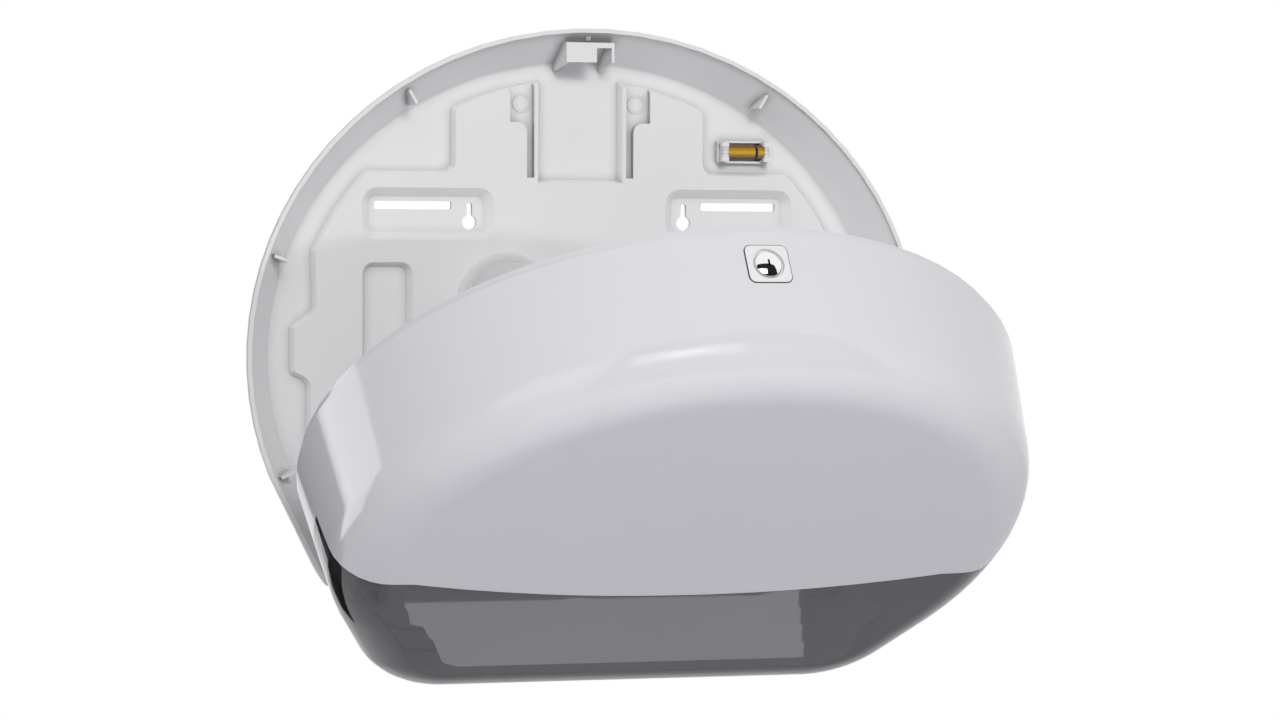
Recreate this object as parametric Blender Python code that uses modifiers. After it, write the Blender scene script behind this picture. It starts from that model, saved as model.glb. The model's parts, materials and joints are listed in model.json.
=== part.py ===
"""Jumbo roll dispenser for a wall: a dished back plate with roll spindles and a bubble level, and a
bowed cover with a smoked window, a toothed paper exit and a key lock, shown with the cover open.

Metres. X runs to the right, Y into the wall and Z up. Sizes and places are given from the centre of
the round body on the wall, and the whole part hangs on the plate's middle channel, which is the origin.
"""

import math

import bmesh
import bpy
from mathutils import Matrix, Vector

# The body's outline: an ellipse whose lower part runs into a flat bottom with two round corners.
BODY_WIDTH = 0.437
BODY_HEIGHT = 0.360
BODY_DEPTH = 0.128
TOP_RISE = 0.200
CORNER_RADIUS_SHARE = 0.45
FLAT_BOTTOM_MARGIN = 0.105
FLANK_DEPTH_SHARE = 0.6
OUTLINE_STEPS = 72

# Fits shared by all pieces.
SEAT_GAP = 0.0003
RUNNING_GAP = 0.0003
OVERRUN = 0.004
SINK = 0.001

# Cover: how far it is open, where it turns above the bottom, and its moulded wall.
OPEN_ANGLE = math.radians(53.7)
HINGE_Y = -0.049
HINGE_RISE = 0.027
COVER_WALL = 0.0025
COVER_REAR_Y = -0.0285
LIP_LENGTH = 0.0055
LIP_INSET = 0.0033
WALL_INSET = 0.001
WALL_DRAFT = math.radians(6.4)
FACE_RADIUS = 0.032
FACE_CROWN = 0.0025
FACE_RUN = 0.050
CROWN_SHARES = (0.75, 0.5, 0.25)

# Window: a low arc across the face, and a pointed tip on each side wall, by their rise over the bottom.
WINDOW_ARC_RADIUS = 0.930
WINDOW_ARC_RISE = 0.128
WINDOW_TIP_Y = -0.072
WINDOW_TIP_RISE = 0.134
WINDOW_FACE_RISE = 0.143
WINDOW_REAR_Y = -0.066
WINDOW_REAR_RISE = 0.065

# Paper exit: a U of white bars round a slot that is open at the back. Its edges are given by their
# distance from the body's side and their share of the way to its front. The right side is a row of teeth.
EXIT_FRONT_MARGIN = 0.0263
EXIT_RIGHT_MARGIN = 0.0943
TOOTH_PITCH_SHARE = 0.205
TOOTH_RUN = 0.0036
TOOTH_STEP = 0.0012
TOOTH_STEP_LENGTH = 0.0015
TOOTH_COUNT = 4
EXIT_LEFT_MARGINS = (
    0.1195, 0.1142, 0.1107, 0.1090, 0.1083, 0.1066, 0.1055, 0.1035, 0.0990, 0.0971, 0.0973, 0.0962,
    0.0965,
)
EXIT_LEFT_SHARES = (
    0.712, 0.689, 0.673, 0.567, 0.481, 0.473, 0.398, 0.366, 0.353, 0.352, 0.232, 0.224, 0.079,
)
EXIT_COVER_FRONT_MARGIN = 0.0230
EXIT_COVER_LEFT_MARGINS = (0.1065, 0.0915)
EXIT_COVER_RIGHT_MARGINS = (0.0890, 0.0810)
EXIT_COVER_TURN_MARGIN = 0.0620
FRAME_WALL = 0.0022
FRAME_FRONT_MARGIN = 0.0160
FRAME_END_ANGLE = math.radians(-31.5)
FRAME_RIGHT_MARGINS = (0.0516, 0.0563, 0.0617, 0.0654, 0.0719, 0.0790)
FRAME_RIGHT_SHARES = (0.603, 0.610, 0.639, 0.700, 0.785, 0.819)
FRAME_LEFT_MARGINS = (
    0.0530, 0.0573, 0.0608, 0.0649, 0.0745, 0.0781, 0.0812, 0.0859, 0.0891, 0.0916, 0.0960,
)
FRAME_LEFT_SHARES = (0.068, 0.219, 0.305, 0.331, 0.315, 0.367, 0.424, 0.522, 0.657, 0.755, 0.803)
PAD_MARGIN = 0.0615
PAD_FRONT_MARGIN = 0.0230
PAD_RADIUS = 0.0235
PAD_HEIGHT = 0.0012
CROSS_RIB_WALL = 0.0014
CROSS_RIB_HEIGHT = 0.0009
CROSS_RIB_INNER_MARGIN = 0.1135
CROSS_RIB_OUTER_MARGIN = 0.0685
CROSS_RIB_FRONT_MARGINS = (0.0555, 0.0395)

# Hinge: an arm on the plate and an ear on the exit frame at each side, joined by a headed pin.
EAR_MARGIN = 0.0815
EAR_WALL = 0.004
EAR_RADIUS = 0.008
EAR_FOOT_HALF = 0.010
ARM_WALL = 0.005
ARM_RADIUS = 0.007
ARM_ROOT_LOW_RISE = 0.019
ARM_ROOT_HIGH_RISE = 0.037
PIN_RADIUS = 0.0025
PIN_HEAD_RADIUS = 0.0042
PIN_HEAD_LENGTH = 0.0015
STOP_RADIUS = 0.0025
STOP_REACH = 0.028

# Frame screws, driven from below through the cover's wall into bosses on the bars.
FRAME_SCREW_MARGIN = 0.0625
FRAME_SCREW_SHARES = (0.079, 0.2215)
FRAME_SCREW_RADIUS = 0.0015
FRAME_SCREW_HEAD_RADIUS = 0.0029
FRAME_SCREW_HEAD_LENGTH = 0.0014
FRAME_BOSS_RADIUS = 0.0034
FRAME_BOSS_HEIGHT = 0.0045

# Back plate: a pressed sheet with a flared rim, a raised middle and recesses down to the wall. Its upper
# features are given by their drop from the top, and its side ones by their distance from the side.
PLATE_WALL = 0.0025
PLATE_RIM_Y = -0.0315
PLATE_LIP_LENGTH = 0.0035
PLATE_FLOOR_INSET = 0.0195
PLATE_FLOOR_RADIUS = 0.006
PLATE_DROP = 0.003
PLATE_CUT_RISE = 0.023
PLATE_CUT_Y = -0.008
RAISED_RISE = 0.0055
RAISED_DRAFT = 0.0030
RAISED_SIDE_MARGIN = 0.0325
RAISED_TOP_DROP = 0.0295
RAISED_CORNER = 0.005
RAISED_BOTTOM_RISE = 0.068
RAISED_BOTTOM_MARGIN = 0.0685
STEP_MARGIN = 0.135
STEP_DROP = 0.086
SIDE_MARGIN = 0.0468
SIDE_LENGTH = 0.036
EAR_OUT_MARGIN = 0.0331
EAR_TOP_SLOPE = 0.009
EAR_OUT_LENGTH = 0.030
EAR_LOW_SLOPE = 0.005
SIDE_LOW_LENGTH = 0.034
SIDE_LOW_MARGIN = 0.0435
SIDE_LOW_RISE = 0.110
CHANNEL_HALF = 0.0245
CHANNEL_DROP = 0.091
POCKET_INNER_X = 0.030
POCKET_SLIM_X = 0.0347
POCKET_WIDE_X = 0.0457
POCKET_STEP_DROP = 0.057
POCKET_STEP_RADIUS = 0.006
POCKET_FLOOR_RISE = 0.0015
RING_X = 0.0375
RING_DROP = 0.0455
RING_RADIUS = 0.0056
RING_WIDTH = 0.0007
RING_RISE = 0.0005

# Screw recesses on both sides, each with a long slot and a keyhole.
RECESS_INNER_X = 0.056
RECESS_MARGIN = 0.0785
RECESS_LOW_DROP = 0.1293
RECESS_HIGH_DROP = 0.0976
RECESS_CORNER = 0.009
RECESS_DRAFT = 0.0055
SLOT_INNER_X = 0.0815
SLOT_END_MARGIN = 0.009
SLOT_DROP = 0.1083
SLOT_HALF_HEIGHT = 0.0025
SLOT_CORNER = 0.0012
KEYHOLE_X = 0.070
KEYHOLE_DROP = 0.1185
KEYHOLE_RADIUS = 0.0046
KEYHOLE_NECK_HALF = 0.0018
KEYHOLE_NECK_LENGTH = 0.012

# Tall recess beside each screw recess.
PANEL_WIDTH = 0.032
PANEL_GAP = 0.0137
PANEL_LOW_Z = -0.015
PANEL_CORNER = 0.007
PANEL_DRAFT = 0.003

# Fins between the rim and the floor, by the angle of the rim's normal.
FIN_ANGLES = tuple(math.radians(a) for a in (59.0, 121.0, 20.0, 160.0, -24.0, -156.0))
FIN_WALL = 0.0017
FIN_TOP_Y = -0.0265
FIN_INNER_INSET = 0.0168
FIN_OUTER_INSET = 0.0072

# Catch at the top: a box wall and a bar between two gussets, with a gap that lets the cam in.
CATCH_LEFT_X = -0.0164
CATCH_RIGHT_X = 0.0147
CATCH_WALL = 0.0018
CATCH_FRONT_Y = -0.028
CATCH_BOX_WALL = 0.002
CATCH_GAP_X = 0.0033
CATCH_LOW_DROP = 0.0206
CATCH_HIGH_DROP = 0.0085
CATCH_BAR_HEIGHT = 0.0033
CATCH_WEB_WALL = 0.0016
CATCH_WEB_DEPTH = 0.011
GUSSET_FOOT_DROP = 0.026
GUSSET_BACK_Y = -0.020
NUB_X = -0.0013
NUB_WIDTH = 0.0032
NUB_HEIGHT = 0.0048
NUB_DEPTH = 0.0035

# Spindles: a full roll hangs on the upper left one and a part roll on the lower right one.
MAIN_SPINDLE_X = -0.048
MAIN_SPINDLE_DROP = 0.169
STUB_SPINDLE_MARGIN = 0.0885
STUB_SPINDLE_RISE = 0.108
SPINDLE_LENGTH = 0.085
SPINDLE_FLANGE_RADIUS = 0.032
SPINDLE_FLANGE_WALL = 0.0025
SPINDLE_RADIUS = 0.026
SPINDLE_TIP_RADIUS = 0.0252
SPINDLE_WALL = 0.0022
SPINDLE_WEB = 0.004
SPINDLE_EDGE = 0.0008
SPINDLE_RIB_WALL = 0.0016
SPINDLE_RIB_RISE = 0.030
SPINDLE_NOTCH_HALF = 0.004
SPINDLE_NOTCH_DEPTH = 0.018
SPINDLE_SCREW_RADIUS = 0.002
SPINDLE_SCREW_HEAD_RADIUS = 0.0045
SPINDLE_SCREW_HEAD_LENGTH = 0.0026
SPINDLE_SCREW_LENGTH = 0.011
SPINDLE_SCREW_POINT = 0.0015
SPINDLE_BOSS_RADIUS = 0.006
SPINDLE_BOSS_FLOOR = 0.0012

# Bubble level in its cradle on the upper right.
LEVEL_MARGIN = 0.1107
LEVEL_DROP = 0.074
LEVEL_LENGTH = 0.029
LEVEL_RADIUS = 0.0045
LEVEL_BORE_RADIUS = 0.0034
LEVEL_END_WALL = 0.0014
LEVEL_CAP_LENGTH = 0.002
LEVEL_BUBBLE_LENGTH = 0.006
LEVEL_BUBBLE_DEPTH = 0.0014
LEVEL_RING_X = 0.0068
LEVEL_RING_WIDTH = 0.0014
LEVEL_RING_WALL = 0.0005
CRADLE_HALF_WIDTH = 0.0168
CRADLE_HALF_HEIGHT = 0.0070
CRADLE_WALL = 0.0013
CRADLE_RISE = 0.0040
CLIP_LENGTH = 0.0045
CLIP_HALF_HEIGHT = 0.0060
CLIP_RISE = 0.0108
CLIP_MOUTH_HALF = 0.0032

# Lock, on the middle of the cover's top wall.
LOCK_Y = -0.0543
BEZEL_WIDTH = 0.0252
BEZEL_HEIGHT = 0.0232
BEZEL_CORNER = 0.0036
BEZEL_PROUD = 0.0004
BEZEL_RECESS = 0.0016
HOUSING_RADIUS = 0.0112
HOUSING_LENGTH = 0.0165
LOCK_MOUTH_RADIUS = 0.0095
LOCK_BORE_RADIUS = 0.0080
LOCK_MOUTH_DEPTH = 0.0026
DISC_RADIUS = 0.0165
DISC_WALL = 0.0016
NUT_FLATS_RADIUS = 0.0138
NUT_WALL = 0.0045
BARREL_HEAD_RADIUS = 0.0083
BARREL_DOME = 0.0026
BARREL_RADIUS = 0.0072
BARREL_LENGTH = 0.0205
KEYWAY_HALF_WIDTH = 0.0006
KEYWAY_HALF_LENGTH = 0.0022
KEYWAY_DEPTH = 0.006
STUD_HALF = 0.0030
STUD_LENGTH = 0.0030
CAM_WALL = 0.0022
CAM_HUB_RADIUS = 0.0075
CAM_ARM_HALF = 0.0030
CAM_TIP_Y = -0.0228
CAM_TIP_WALL = 0.0025
CAM_TIP_HALF = 0.0021
CAM_TIP_RISE = 0.0075
CAM_REST_ANGLE = math.radians(15.0)
CAM_SCREW_RADIUS = 0.0014
CAM_SCREW_HEAD_RADIUS = 0.0038
CAM_SCREW_HEAD_LENGTH = 0.0016
CAM_SCREW_LENGTH = 0.006

# The plate's middle channel lies on the wall this far below the top, and this is where the part hangs.
MOUNT_DROP = 0.060

# Facets of round pieces.
HUB_STEPS = 24
LOCK_STEPS = 24
SCREW_STEPS = 12
SMALL_STEPS = 16
ARC_STEPS = 4
ROUND_END_STEPS = 8
FACE_STEPS = 7
WINDOW_STEPS = 20
FRAME_STEPS = 26
PAD_STEPS = 32
RAISED_ARC_STEPS = 6
RAISED_TOP_STEPS = 4
RAISED_CORNER_STEPS = 3

# Shares of screw and pin heads: the flat crown, the start of the head's round, and the shank's point.
CROWN_SHARE = 0.6
HEAD_ROUND_SHARE = 0.45
POINT_SHARE = 0.4
PIN_CROWN_SHARE = 0.8
BUBBLE_CORNER_SHARE = 0.3

# Derived places of the body and the cover.
HALF_WIDTH = BODY_WIDTH / 2
BOTTOM_Z = TOP_RISE - BODY_HEIGHT
BODY_MIDDLE_Z = TOP_RISE - BODY_HEIGHT / 2
CORNER_RADIUS = -BOTTOM_Z * CORNER_RADIUS_SHARE
FLANK_Z = BOTTOM_Z * FLANK_DEPTH_SHARE
FLANK_X = HALF_WIDTH * math.sqrt(1.0 - (FLANK_Z / TOP_RISE) ** 2)
FLANK_TURN = math.atan2(-FLANK_Z * HALF_WIDTH**2, FLANK_X * TOP_RISE**2)
FLANK_REACH = math.hypot(HALF_WIDTH * math.cos(FLANK_TURN), TOP_RISE * math.sin(FLANK_TURN))
FLANK_CORNER_REACH = CORNER_RADIUS - (BOTTOM_Z + CORNER_RADIUS) * math.sin(FLANK_TURN)
FLAT_BOTTOM_LEAST = (FLANK_REACH - FLANK_CORNER_REACH) / math.cos(FLANK_TURN)
FLAT_BOTTOM_HALF = max(FLAT_BOTTOM_LEAST, HALF_WIDTH - FLAT_BOTTOM_MARGIN)
MOUNT_Z = TOP_RISE - MOUNT_DROP
HINGE_Z = BOTTOM_Z + HINGE_RISE
LIP_END_Y = COVER_REAR_Y - LIP_LENGTH
TOP_CURVE = HALF_WIDTH**2 / TOP_RISE
WINDOW_ARC_LOW_Z = BOTTOM_Z + WINDOW_ARC_RISE
WINDOW_TIP_Z = BOTTOM_Z + WINDOW_TIP_RISE
WINDOW_FACE_Z = BOTTOM_Z + WINDOW_FACE_RISE
WINDOW_REAR_TOP_Z = BOTTOM_Z + WINDOW_REAR_RISE
FRAME_REAR_Y = LIP_END_Y - COVER_WALL - SEAT_GAP
EXIT_FRONT_Y = EXIT_FRONT_MARGIN - BODY_DEPTH
FRAME_FRONT_Y = FRAME_FRONT_MARGIN - BODY_DEPTH
FRAME_RUN = FRAME_REAR_Y + BODY_DEPTH
TOOTH_PITCH = (FRAME_REAR_Y - EXIT_FRONT_Y) * TOOTH_PITCH_SHARE
EAR_INNER_X = HALF_WIDTH - EAR_MARGIN
FRAME_SCREW_X = HALF_WIDTH - FRAME_SCREW_MARGIN
LOCK_INSET = WALL_INSET + (LIP_END_Y - LOCK_Y) * math.tan(WALL_DRAFT)
LOCK_Z = TOP_RISE - LOCK_INSET
CAM_REACH = CAM_TIP_Y - LOCK_Y

# Derived places of the plate.
PLATE_FLOOR_Y = -PLATE_WALL
PLATE_CUT_Z = BOTTOM_Z + PLATE_CUT_RISE
PLATE_FLARE_Y = PLATE_RIM_Y + PLATE_LIP_LENGTH
RAISED_Y = PLATE_FLOOR_Y - RAISED_RISE
RAISED_RADIUS_X = HALF_WIDTH - RAISED_SIDE_MARGIN
RAISED_RADIUS_Z = TOP_RISE - RAISED_TOP_DROP
RAISED_BOTTOM_Z = BOTTOM_Z + RAISED_BOTTOM_RISE
RAISED_BOTTOM_X = HALF_WIDTH - RAISED_BOTTOM_MARGIN
STEP_X = HALF_WIDTH - STEP_MARGIN
STEP_Z = TOP_RISE - STEP_DROP
SIDE_X = HALF_WIDTH - SIDE_MARGIN
EAR_OUT_X = HALF_WIDTH - EAR_OUT_MARGIN
SIDE_LOW_X = HALF_WIDTH - SIDE_LOW_MARGIN
SIDE_LOW_Z = BOTTOM_Z + SIDE_LOW_RISE
EAR_LOW_Z = SIDE_LOW_Z + SIDE_LOW_LENGTH
EAR_OUT_LOW_Z = EAR_LOW_Z + EAR_LOW_SLOPE
EAR_OUT_TOP_Z = EAR_OUT_LOW_Z + EAR_OUT_LENGTH
EAR_TOP_Z = EAR_OUT_TOP_Z + EAR_TOP_SLOPE
SIDE_TOP_Z = EAR_TOP_Z + SIDE_LENGTH
CHANNEL_LOW_Z = TOP_RISE - CHANNEL_DROP
POCKET_STEP_Z = TOP_RISE - POCKET_STEP_DROP
RING_Z = TOP_RISE - RING_DROP
RECESS_OUTER_X = HALF_WIDTH - RECESS_MARGIN
RECESS_LOW_Z = TOP_RISE - RECESS_LOW_DROP
RECESS_HIGH_Z = TOP_RISE - RECESS_HIGH_DROP
SLOT_OUTER_X = RECESS_OUTER_X - SLOT_END_MARGIN
SLOT_Z = TOP_RISE - SLOT_DROP
KEYHOLE_Z = TOP_RISE - KEYHOLE_DROP
KEYHOLE_TOP_Z = KEYHOLE_Z + KEYHOLE_NECK_LENGTH
PANEL_INNER_X = RECESS_OUTER_X - PANEL_WIDTH
PANEL_HIGH_Z = RECESS_LOW_Z - PANEL_GAP
CATCH_LOW_Z = TOP_RISE - CATCH_LOW_DROP
CATCH_HIGH_Z = TOP_RISE - CATCH_HIGH_DROP
GUSSET_FOOT_Z = TOP_RISE - GUSSET_FOOT_DROP
ARM_ROOT_LOW_Z = HINGE_Z + ARM_ROOT_LOW_RISE
ARM_ROOT_HIGH_Z = HINGE_Z + ARM_ROOT_HIGH_RISE
SPINDLE_PLACES = {
    "main_spindle": (MAIN_SPINDLE_X, TOP_RISE - MAIN_SPINDLE_DROP),
    "stub_spindle": (HALF_WIDTH - STUB_SPINDLE_MARGIN, BOTTOM_Z + STUB_SPINDLE_RISE),
}
LEVEL_X = HALF_WIDTH - LEVEL_MARGIN
LEVEL_Y = PLATE_FLOOR_Y - SEAT_GAP - LEVEL_RADIUS
LEVEL_Z = TOP_RISE - LEVEL_DROP

# Start from an empty scene, with one collection for the object and one for its cutters.
for old in list(bpy.data.objects):
    bpy.data.objects.remove(old, do_unlink=True)
parts = bpy.data.collections.new("jumbo_roll_dispenser")
cutters = bpy.data.collections.new("cutters")
for made in (parts, cutters):
    bpy.context.scene.collection.children.link(made)


def material(name, colour, roughness, metallic=0.0, alpha=1.0):
    """A Principled BSDF material with one colour, roughness and metallic value."""
    made = bpy.data.materials.new(name)
    made.use_nodes = True
    shader = made.node_tree.nodes["Principled BSDF"]
    shader.inputs["Base Color"].default_value = (*colour, 1.0)
    shader.inputs["Roughness"].default_value = roughness
    shader.inputs["Metallic"].default_value = metallic
    shader.inputs["Alpha"].default_value = alpha
    made.diffuse_color = (*colour, alpha)
    return made


def anchor(name, parent, place, turn=0.0):
    """An empty that carries a group of pieces, turned about X."""
    empty = bpy.data.objects.new(name, None)
    parts.objects.link(empty)
    empty.parent = parent
    empty.location = place
    empty.rotation_euler = (turn, 0.0, 0.0)
    return empty


body_frame = anchor("body_frame", None, (0.0, 0.0, -MOUNT_Z))
hinge_frame = anchor("hinge_frame", body_frame, (0.0, HINGE_Y, HINGE_Z), OPEN_ANGLE)
lock_frame = anchor("lock_frame", hinge_frame, (0.0, LOCK_Y - HINGE_Y, LOCK_Z - HINGE_Z), WALL_DRAFT)

# Each group's pieces are modelled from the body's centre, with the cover closed, or from the lock's face.
GROUPS = {
    "plate": (body_frame, Vector((0.0, 0.0, 0.0))),
    "cover": (hinge_frame, Vector((0.0, -HINGE_Y, -HINGE_Z))),
    "lock": (lock_frame, Vector((0.0, 0.0, 0.0))),
}


def place_object(name, mesh, group, finish=None, spot=(0.0, 0.0, 0.0), turn=(0.0, 0.0, 0.0)):
    """Makes an object of a mesh: a named piece if it has a finish, or else a hidden cutter."""
    made = bpy.data.objects.new(name, mesh)
    carrier, shift = GROUPS[group]
    made.parent = carrier
    made.location = shift + Vector(spot)
    made.rotation_euler = turn
    if finish is None:
        cutters.objects.link(made)
        made.hide_render = True
        made.display_type = "WIRE"
    else:
        parts.objects.link(made)
        made.data.materials.append(finish)
    return made


def mesh_of(name, bm):
    """Writes a bmesh to a new mesh with its faces pointing out."""
    bmesh.ops.recalc_face_normals(bm, faces=bm.faces)
    mesh = bpy.data.meshes.new(name)
    bm.to_mesh(mesh)
    bm.free()
    return mesh


def combine(target, tool, operation):
    """Adds a live Boolean of a tool to a target."""
    step = target.modifiers.new(tool.name, "BOOLEAN")
    step.operation = operation
    step.solver = "EXACT"
    step.object = tool
    return target


def cut(target, *tools):
    for tool in tools:
        combine(target, tool, "DIFFERENCE")


def join(target, *tools):
    for tool in tools:
        combine(target, tool, "UNION")


def keep(target, *tools):
    for tool in tools:
        combine(target, tool, "INTERSECT")


def smooth(made, angle=math.radians(30.0)):
    made.data.shade_smooth()
    made.data.set_sharp_from_angle(angle=angle)


def outline(inset, drop=0.0):
    """The body's outline in X and Z, moved in by an inset, as one point for each direction of its normal.

    The upper part is an ellipse. A straight flank on each side leaves it for a corner circle, which turns
    to the flat bottom. A drop lowers the bottom and its corners.
    """
    points = []
    for i in range(OUTLINE_STEPS):
        angle = (i + 0.5) * 2 * math.pi / OUTLINE_STEPS
        points.append(outline_point(angle, inset, drop))
    return points


def outline_point(angle, inset, drop=0.0):
    nx, nz = math.cos(angle), math.sin(angle)
    reach = math.hypot(HALF_WIDTH * nx, TOP_RISE * nz)
    x, z = HALF_WIDTH**2 * nx / reach, TOP_RISE**2 * nz / reach
    side = math.copysign(1.0, nx)
    cx, cz = side * FLAT_BOTTOM_HALF, BOTTOM_Z + CORNER_RADIUS - drop
    if nz < -math.sin(FLANK_TURN) or cx * nx + cz * nz + CORNER_RADIUS > reach:
        x, z = cx + CORNER_RADIUS * nx, cz + CORNER_RADIUS * nz
    return x - inset * nx, z - inset * nz


def round_corners(points, radii, closed=True, steps=ARC_STEPS):
    """Replaces each corner of a line by an arc of its own radius, where that is over zero."""
    made = []
    count = len(points)
    for i, here in enumerate(points):
        radius = radii[i]
        if radius <= 0 or (not closed and i in (0, count - 1)):
            made.append(tuple(here))
            continue
        corner = Vector(here)
        back = (Vector(points[i - 1]) - corner).normalized()
        ahead = (Vector(points[(i + 1) % count]) - corner).normalized()
        half = back.angle(ahead) / 2
        start, end = corner + back * radius / math.tan(half), corner + ahead * radius / math.tan(half)
        middle = corner + (back + ahead).normalized() * radius / math.sin(half)
        sweep = (end - middle).angle_signed(start - middle)
        for k in range(steps + 1):
            arm = Vector(start - middle)
            arm.rotate(Matrix.Rotation(sweep * k / steps, 2))
            made.append(tuple(middle + arm))
    return made


def rectangle(low_a, low_b, high_a, high_b, corner=0.0):
    points = [(low_a, low_b), (high_a, low_b), (high_a, high_b), (low_a, high_b)]
    return round_corners(points, [corner] * 4)


def on_circle(a, b, radius, turns):
    return [(a + radius * math.cos(t), b + radius * math.sin(t)) for t in turns]


def span(start, end, steps):
    return [start + (end - start) * k / steps for k in range(steps + 1)]


def circle(a, b, radius, steps=SMALL_STEPS):
    return on_circle(a, b, radius, span(0.0, 2 * math.pi, steps)[:-1])


def mirrored(points):
    return [(-a, b) for a, b in reversed(points)]


def area(points):
    return sum(p[0] * q[1] - q[0] * p[1] for p, q in zip(points, points[1:] + points[:1])) / 2


def moved_in(points, distance):
    """Moves a closed outline inwards, keeping its corners matched to the first outline's."""
    turn = 1.0 if area(points) > 0 else -1.0
    made = []
    for i, here in enumerate(points):
        back = (Vector(here) - Vector(points[i - 1])).normalized()
        ahead = (Vector(points[(i + 1) % len(points)]) - Vector(here)).normalized()
        normal_a = Vector((-back.y, back.x)) * turn
        normal_b = Vector((-ahead.y, ahead.x)) * turn
        bisector = (normal_a + normal_b).normalized()
        made.append(tuple(Vector(here) + bisector * distance / bisector.dot(normal_a)))
    return made


def prism(name, points, axis, start, end, group, finish=None, draft=0.0):
    """A flat outline pushed from start to end along an axis, drawn in by a draft at its end."""
    order = {"X": (2, 0, 1), "Y": (0, 2, 1), "Z": (0, 1, 2)}[axis]

    def spot(pair, level):
        triple = (pair[0], pair[1], level)
        return Vector([triple[k] for k in order])

    bm = bmesh.new()
    base = [bm.verts.new(spot(pair, start)) for pair in points]
    face = bm.faces.new(base)
    pushed = set(bmesh.ops.extrude_face_region(bm, geom=[face])["geom"])
    ends = moved_in(points, draft) if draft else points
    for vert, pair in zip(base, ends):
        twin = next(e.other_vert(vert) for e in vert.link_edges if e.other_vert(vert) in pushed)
        twin.co = spot(pair, end)
    return place_object(name, mesh_of(name, bm), group, finish)


def loft(bm, loops, close_start=False, close_end=False, ring=True):
    """Skins a row of matching loops, which are rings or open strips."""
    rows = [[bm.verts.new(p) for p in loop] for loop in loops]
    for low, high in zip(rows, rows[1:]):
        last = len(low) if ring else len(low) - 1
        for i in range(last):
            k = (i + 1) % len(low)
            bm.faces.new((low[i], low[k], high[k], high[i]))
    if close_start:
        bm.faces.new(rows[0])
    if close_end:
        bm.faces.new(rows[-1])


def turned(name, profile, group, finish, spot=(0.0, 0.0, 0.0), turn=(0.0, 0.0, 0.0), steps=SMALL_STEPS,
           closed=False):
    """A turned piece: a profile of radius and height, from the top down its outer side."""
    mesh = bpy.data.meshes.new(name)
    edges = [(i, i + 1) for i in range(len(profile) - 1)]
    if closed:
        edges.append((len(profile) - 1, 0))
    mesh.from_pydata([(r, 0.0, h) for r, h in profile], edges, [])
    made = place_object(name, mesh, group, finish, spot, turn)
    spin = made.modifiers.new("turn", "SCREW")
    spin.axis = "Z"
    spin.angle = 2 * math.pi
    spin.steps = steps
    spin.render_steps = steps
    spin.use_merge_vertices = True
    spin.merge_threshold = 0.00002
    spin.use_smooth_shade = True
    return made


white_plate = material("white_plate_plastic", (0.80, 0.80, 0.81), 0.38)
white_cover = material("white_cover_plastic", (0.82, 0.82, 0.83), 0.16)
white_frame = material("white_frame_plastic", (0.78, 0.78, 0.79), 0.35)
smoke = material("smoked_clear_plastic", (0.055, 0.053, 0.058), 0.10, alpha=0.62)
spindle_white = material("spindle_plastic", (0.78, 0.78, 0.79), 0.40)
chrome = material("bright_chrome", (0.85, 0.85, 0.86), 0.06, 1.0)
zinc = material("zinc_plated_steel", (0.62, 0.62, 0.63), 0.32, 1.0)
bezel_white = material("white_lock_plastic", (0.86, 0.86, 0.86), 0.22)
clear = material("clear_acrylic", (0.95, 0.88, 0.60), 0.05, alpha=0.35)
amber = material("amber_liquid", (0.72, 0.42, 0.03), 0.05, alpha=0.85)
black = material("black_marking", (0.01, 0.01, 0.01), 0.40)
nylon = material("nylon_pin", (0.70, 0.70, 0.70), 0.45)


def cover_profile():
    """The cover's outer side from its rear edge to its face, as pairs of inset and Y."""
    face_y = -(BODY_DEPTH - FACE_CROWN)
    corner_inset = WALL_INSET + (LIP_END_Y - face_y) * math.tan(WALL_DRAFT)
    points = [
        (LIP_INSET, COVER_REAR_Y),
        (LIP_INSET, LIP_END_Y),
        (WALL_INSET, LIP_END_Y),
        (corner_inset, face_y),
        (corner_inset + FACE_RUN, face_y),
    ]
    return round_corners(points, (0.0, 0.0, 0.0, FACE_RADIUS, 0.0), closed=False, steps=FACE_STEPS)[:-1]


def inner_profile(depth):
    """The cover's side in front of its lip, moved in by a depth that is measured square to its wall."""
    side = cover_profile()[2:]
    far = side[-1][0] + FACE_RUN
    closed = side + [(far, side[-1][1]), (far, side[0][1])]
    return moved_in(closed, depth)[:len(side)]


def inset_at(y, depth=0.0):
    """How far in the cover's side lies at a distance in front of the wall, at a depth in its thickness."""
    side = inner_profile(depth)
    for (inset_a, y_a), (inset_b, y_b) in zip(side, side[1:]):
        if y_b <= y <= y_a:
            return inset_a + (inset_b - inset_a) * (y - y_a) / (y_b - y_a)
    return side[0][0]


def cover_loops(extra=0.0):
    """Rings over the cover's outer surface, with the face bowed forward in its middle."""
    rings = []
    for inset, y in cover_profile():
        rings.append([(x, y, z) for x, z in outline(inset + extra)])
    last = rings[-1]
    for share in CROWN_SHARES:
        y = -(BODY_DEPTH - FACE_CROWN * share**2)
        rings.append([(x * share, y, BODY_MIDDLE_Z + (z - BODY_MIDDLE_Z) * share) for x, _, z in last])
    return rings


def cover_skin(name, finish):
    """The whole cover as one moulded wall, before the window is parted from it."""
    bm = bmesh.new()
    loft(bm, cover_loops(), close_end=True)
    made = place_object(name, mesh_of(name, bm), "cover", finish)
    wall = made.modifiers.new("wall", "SOLIDIFY")
    wall.thickness = COVER_WALL
    wall.offset = -1.0
    wall.use_even_offset = True
    return made


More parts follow.
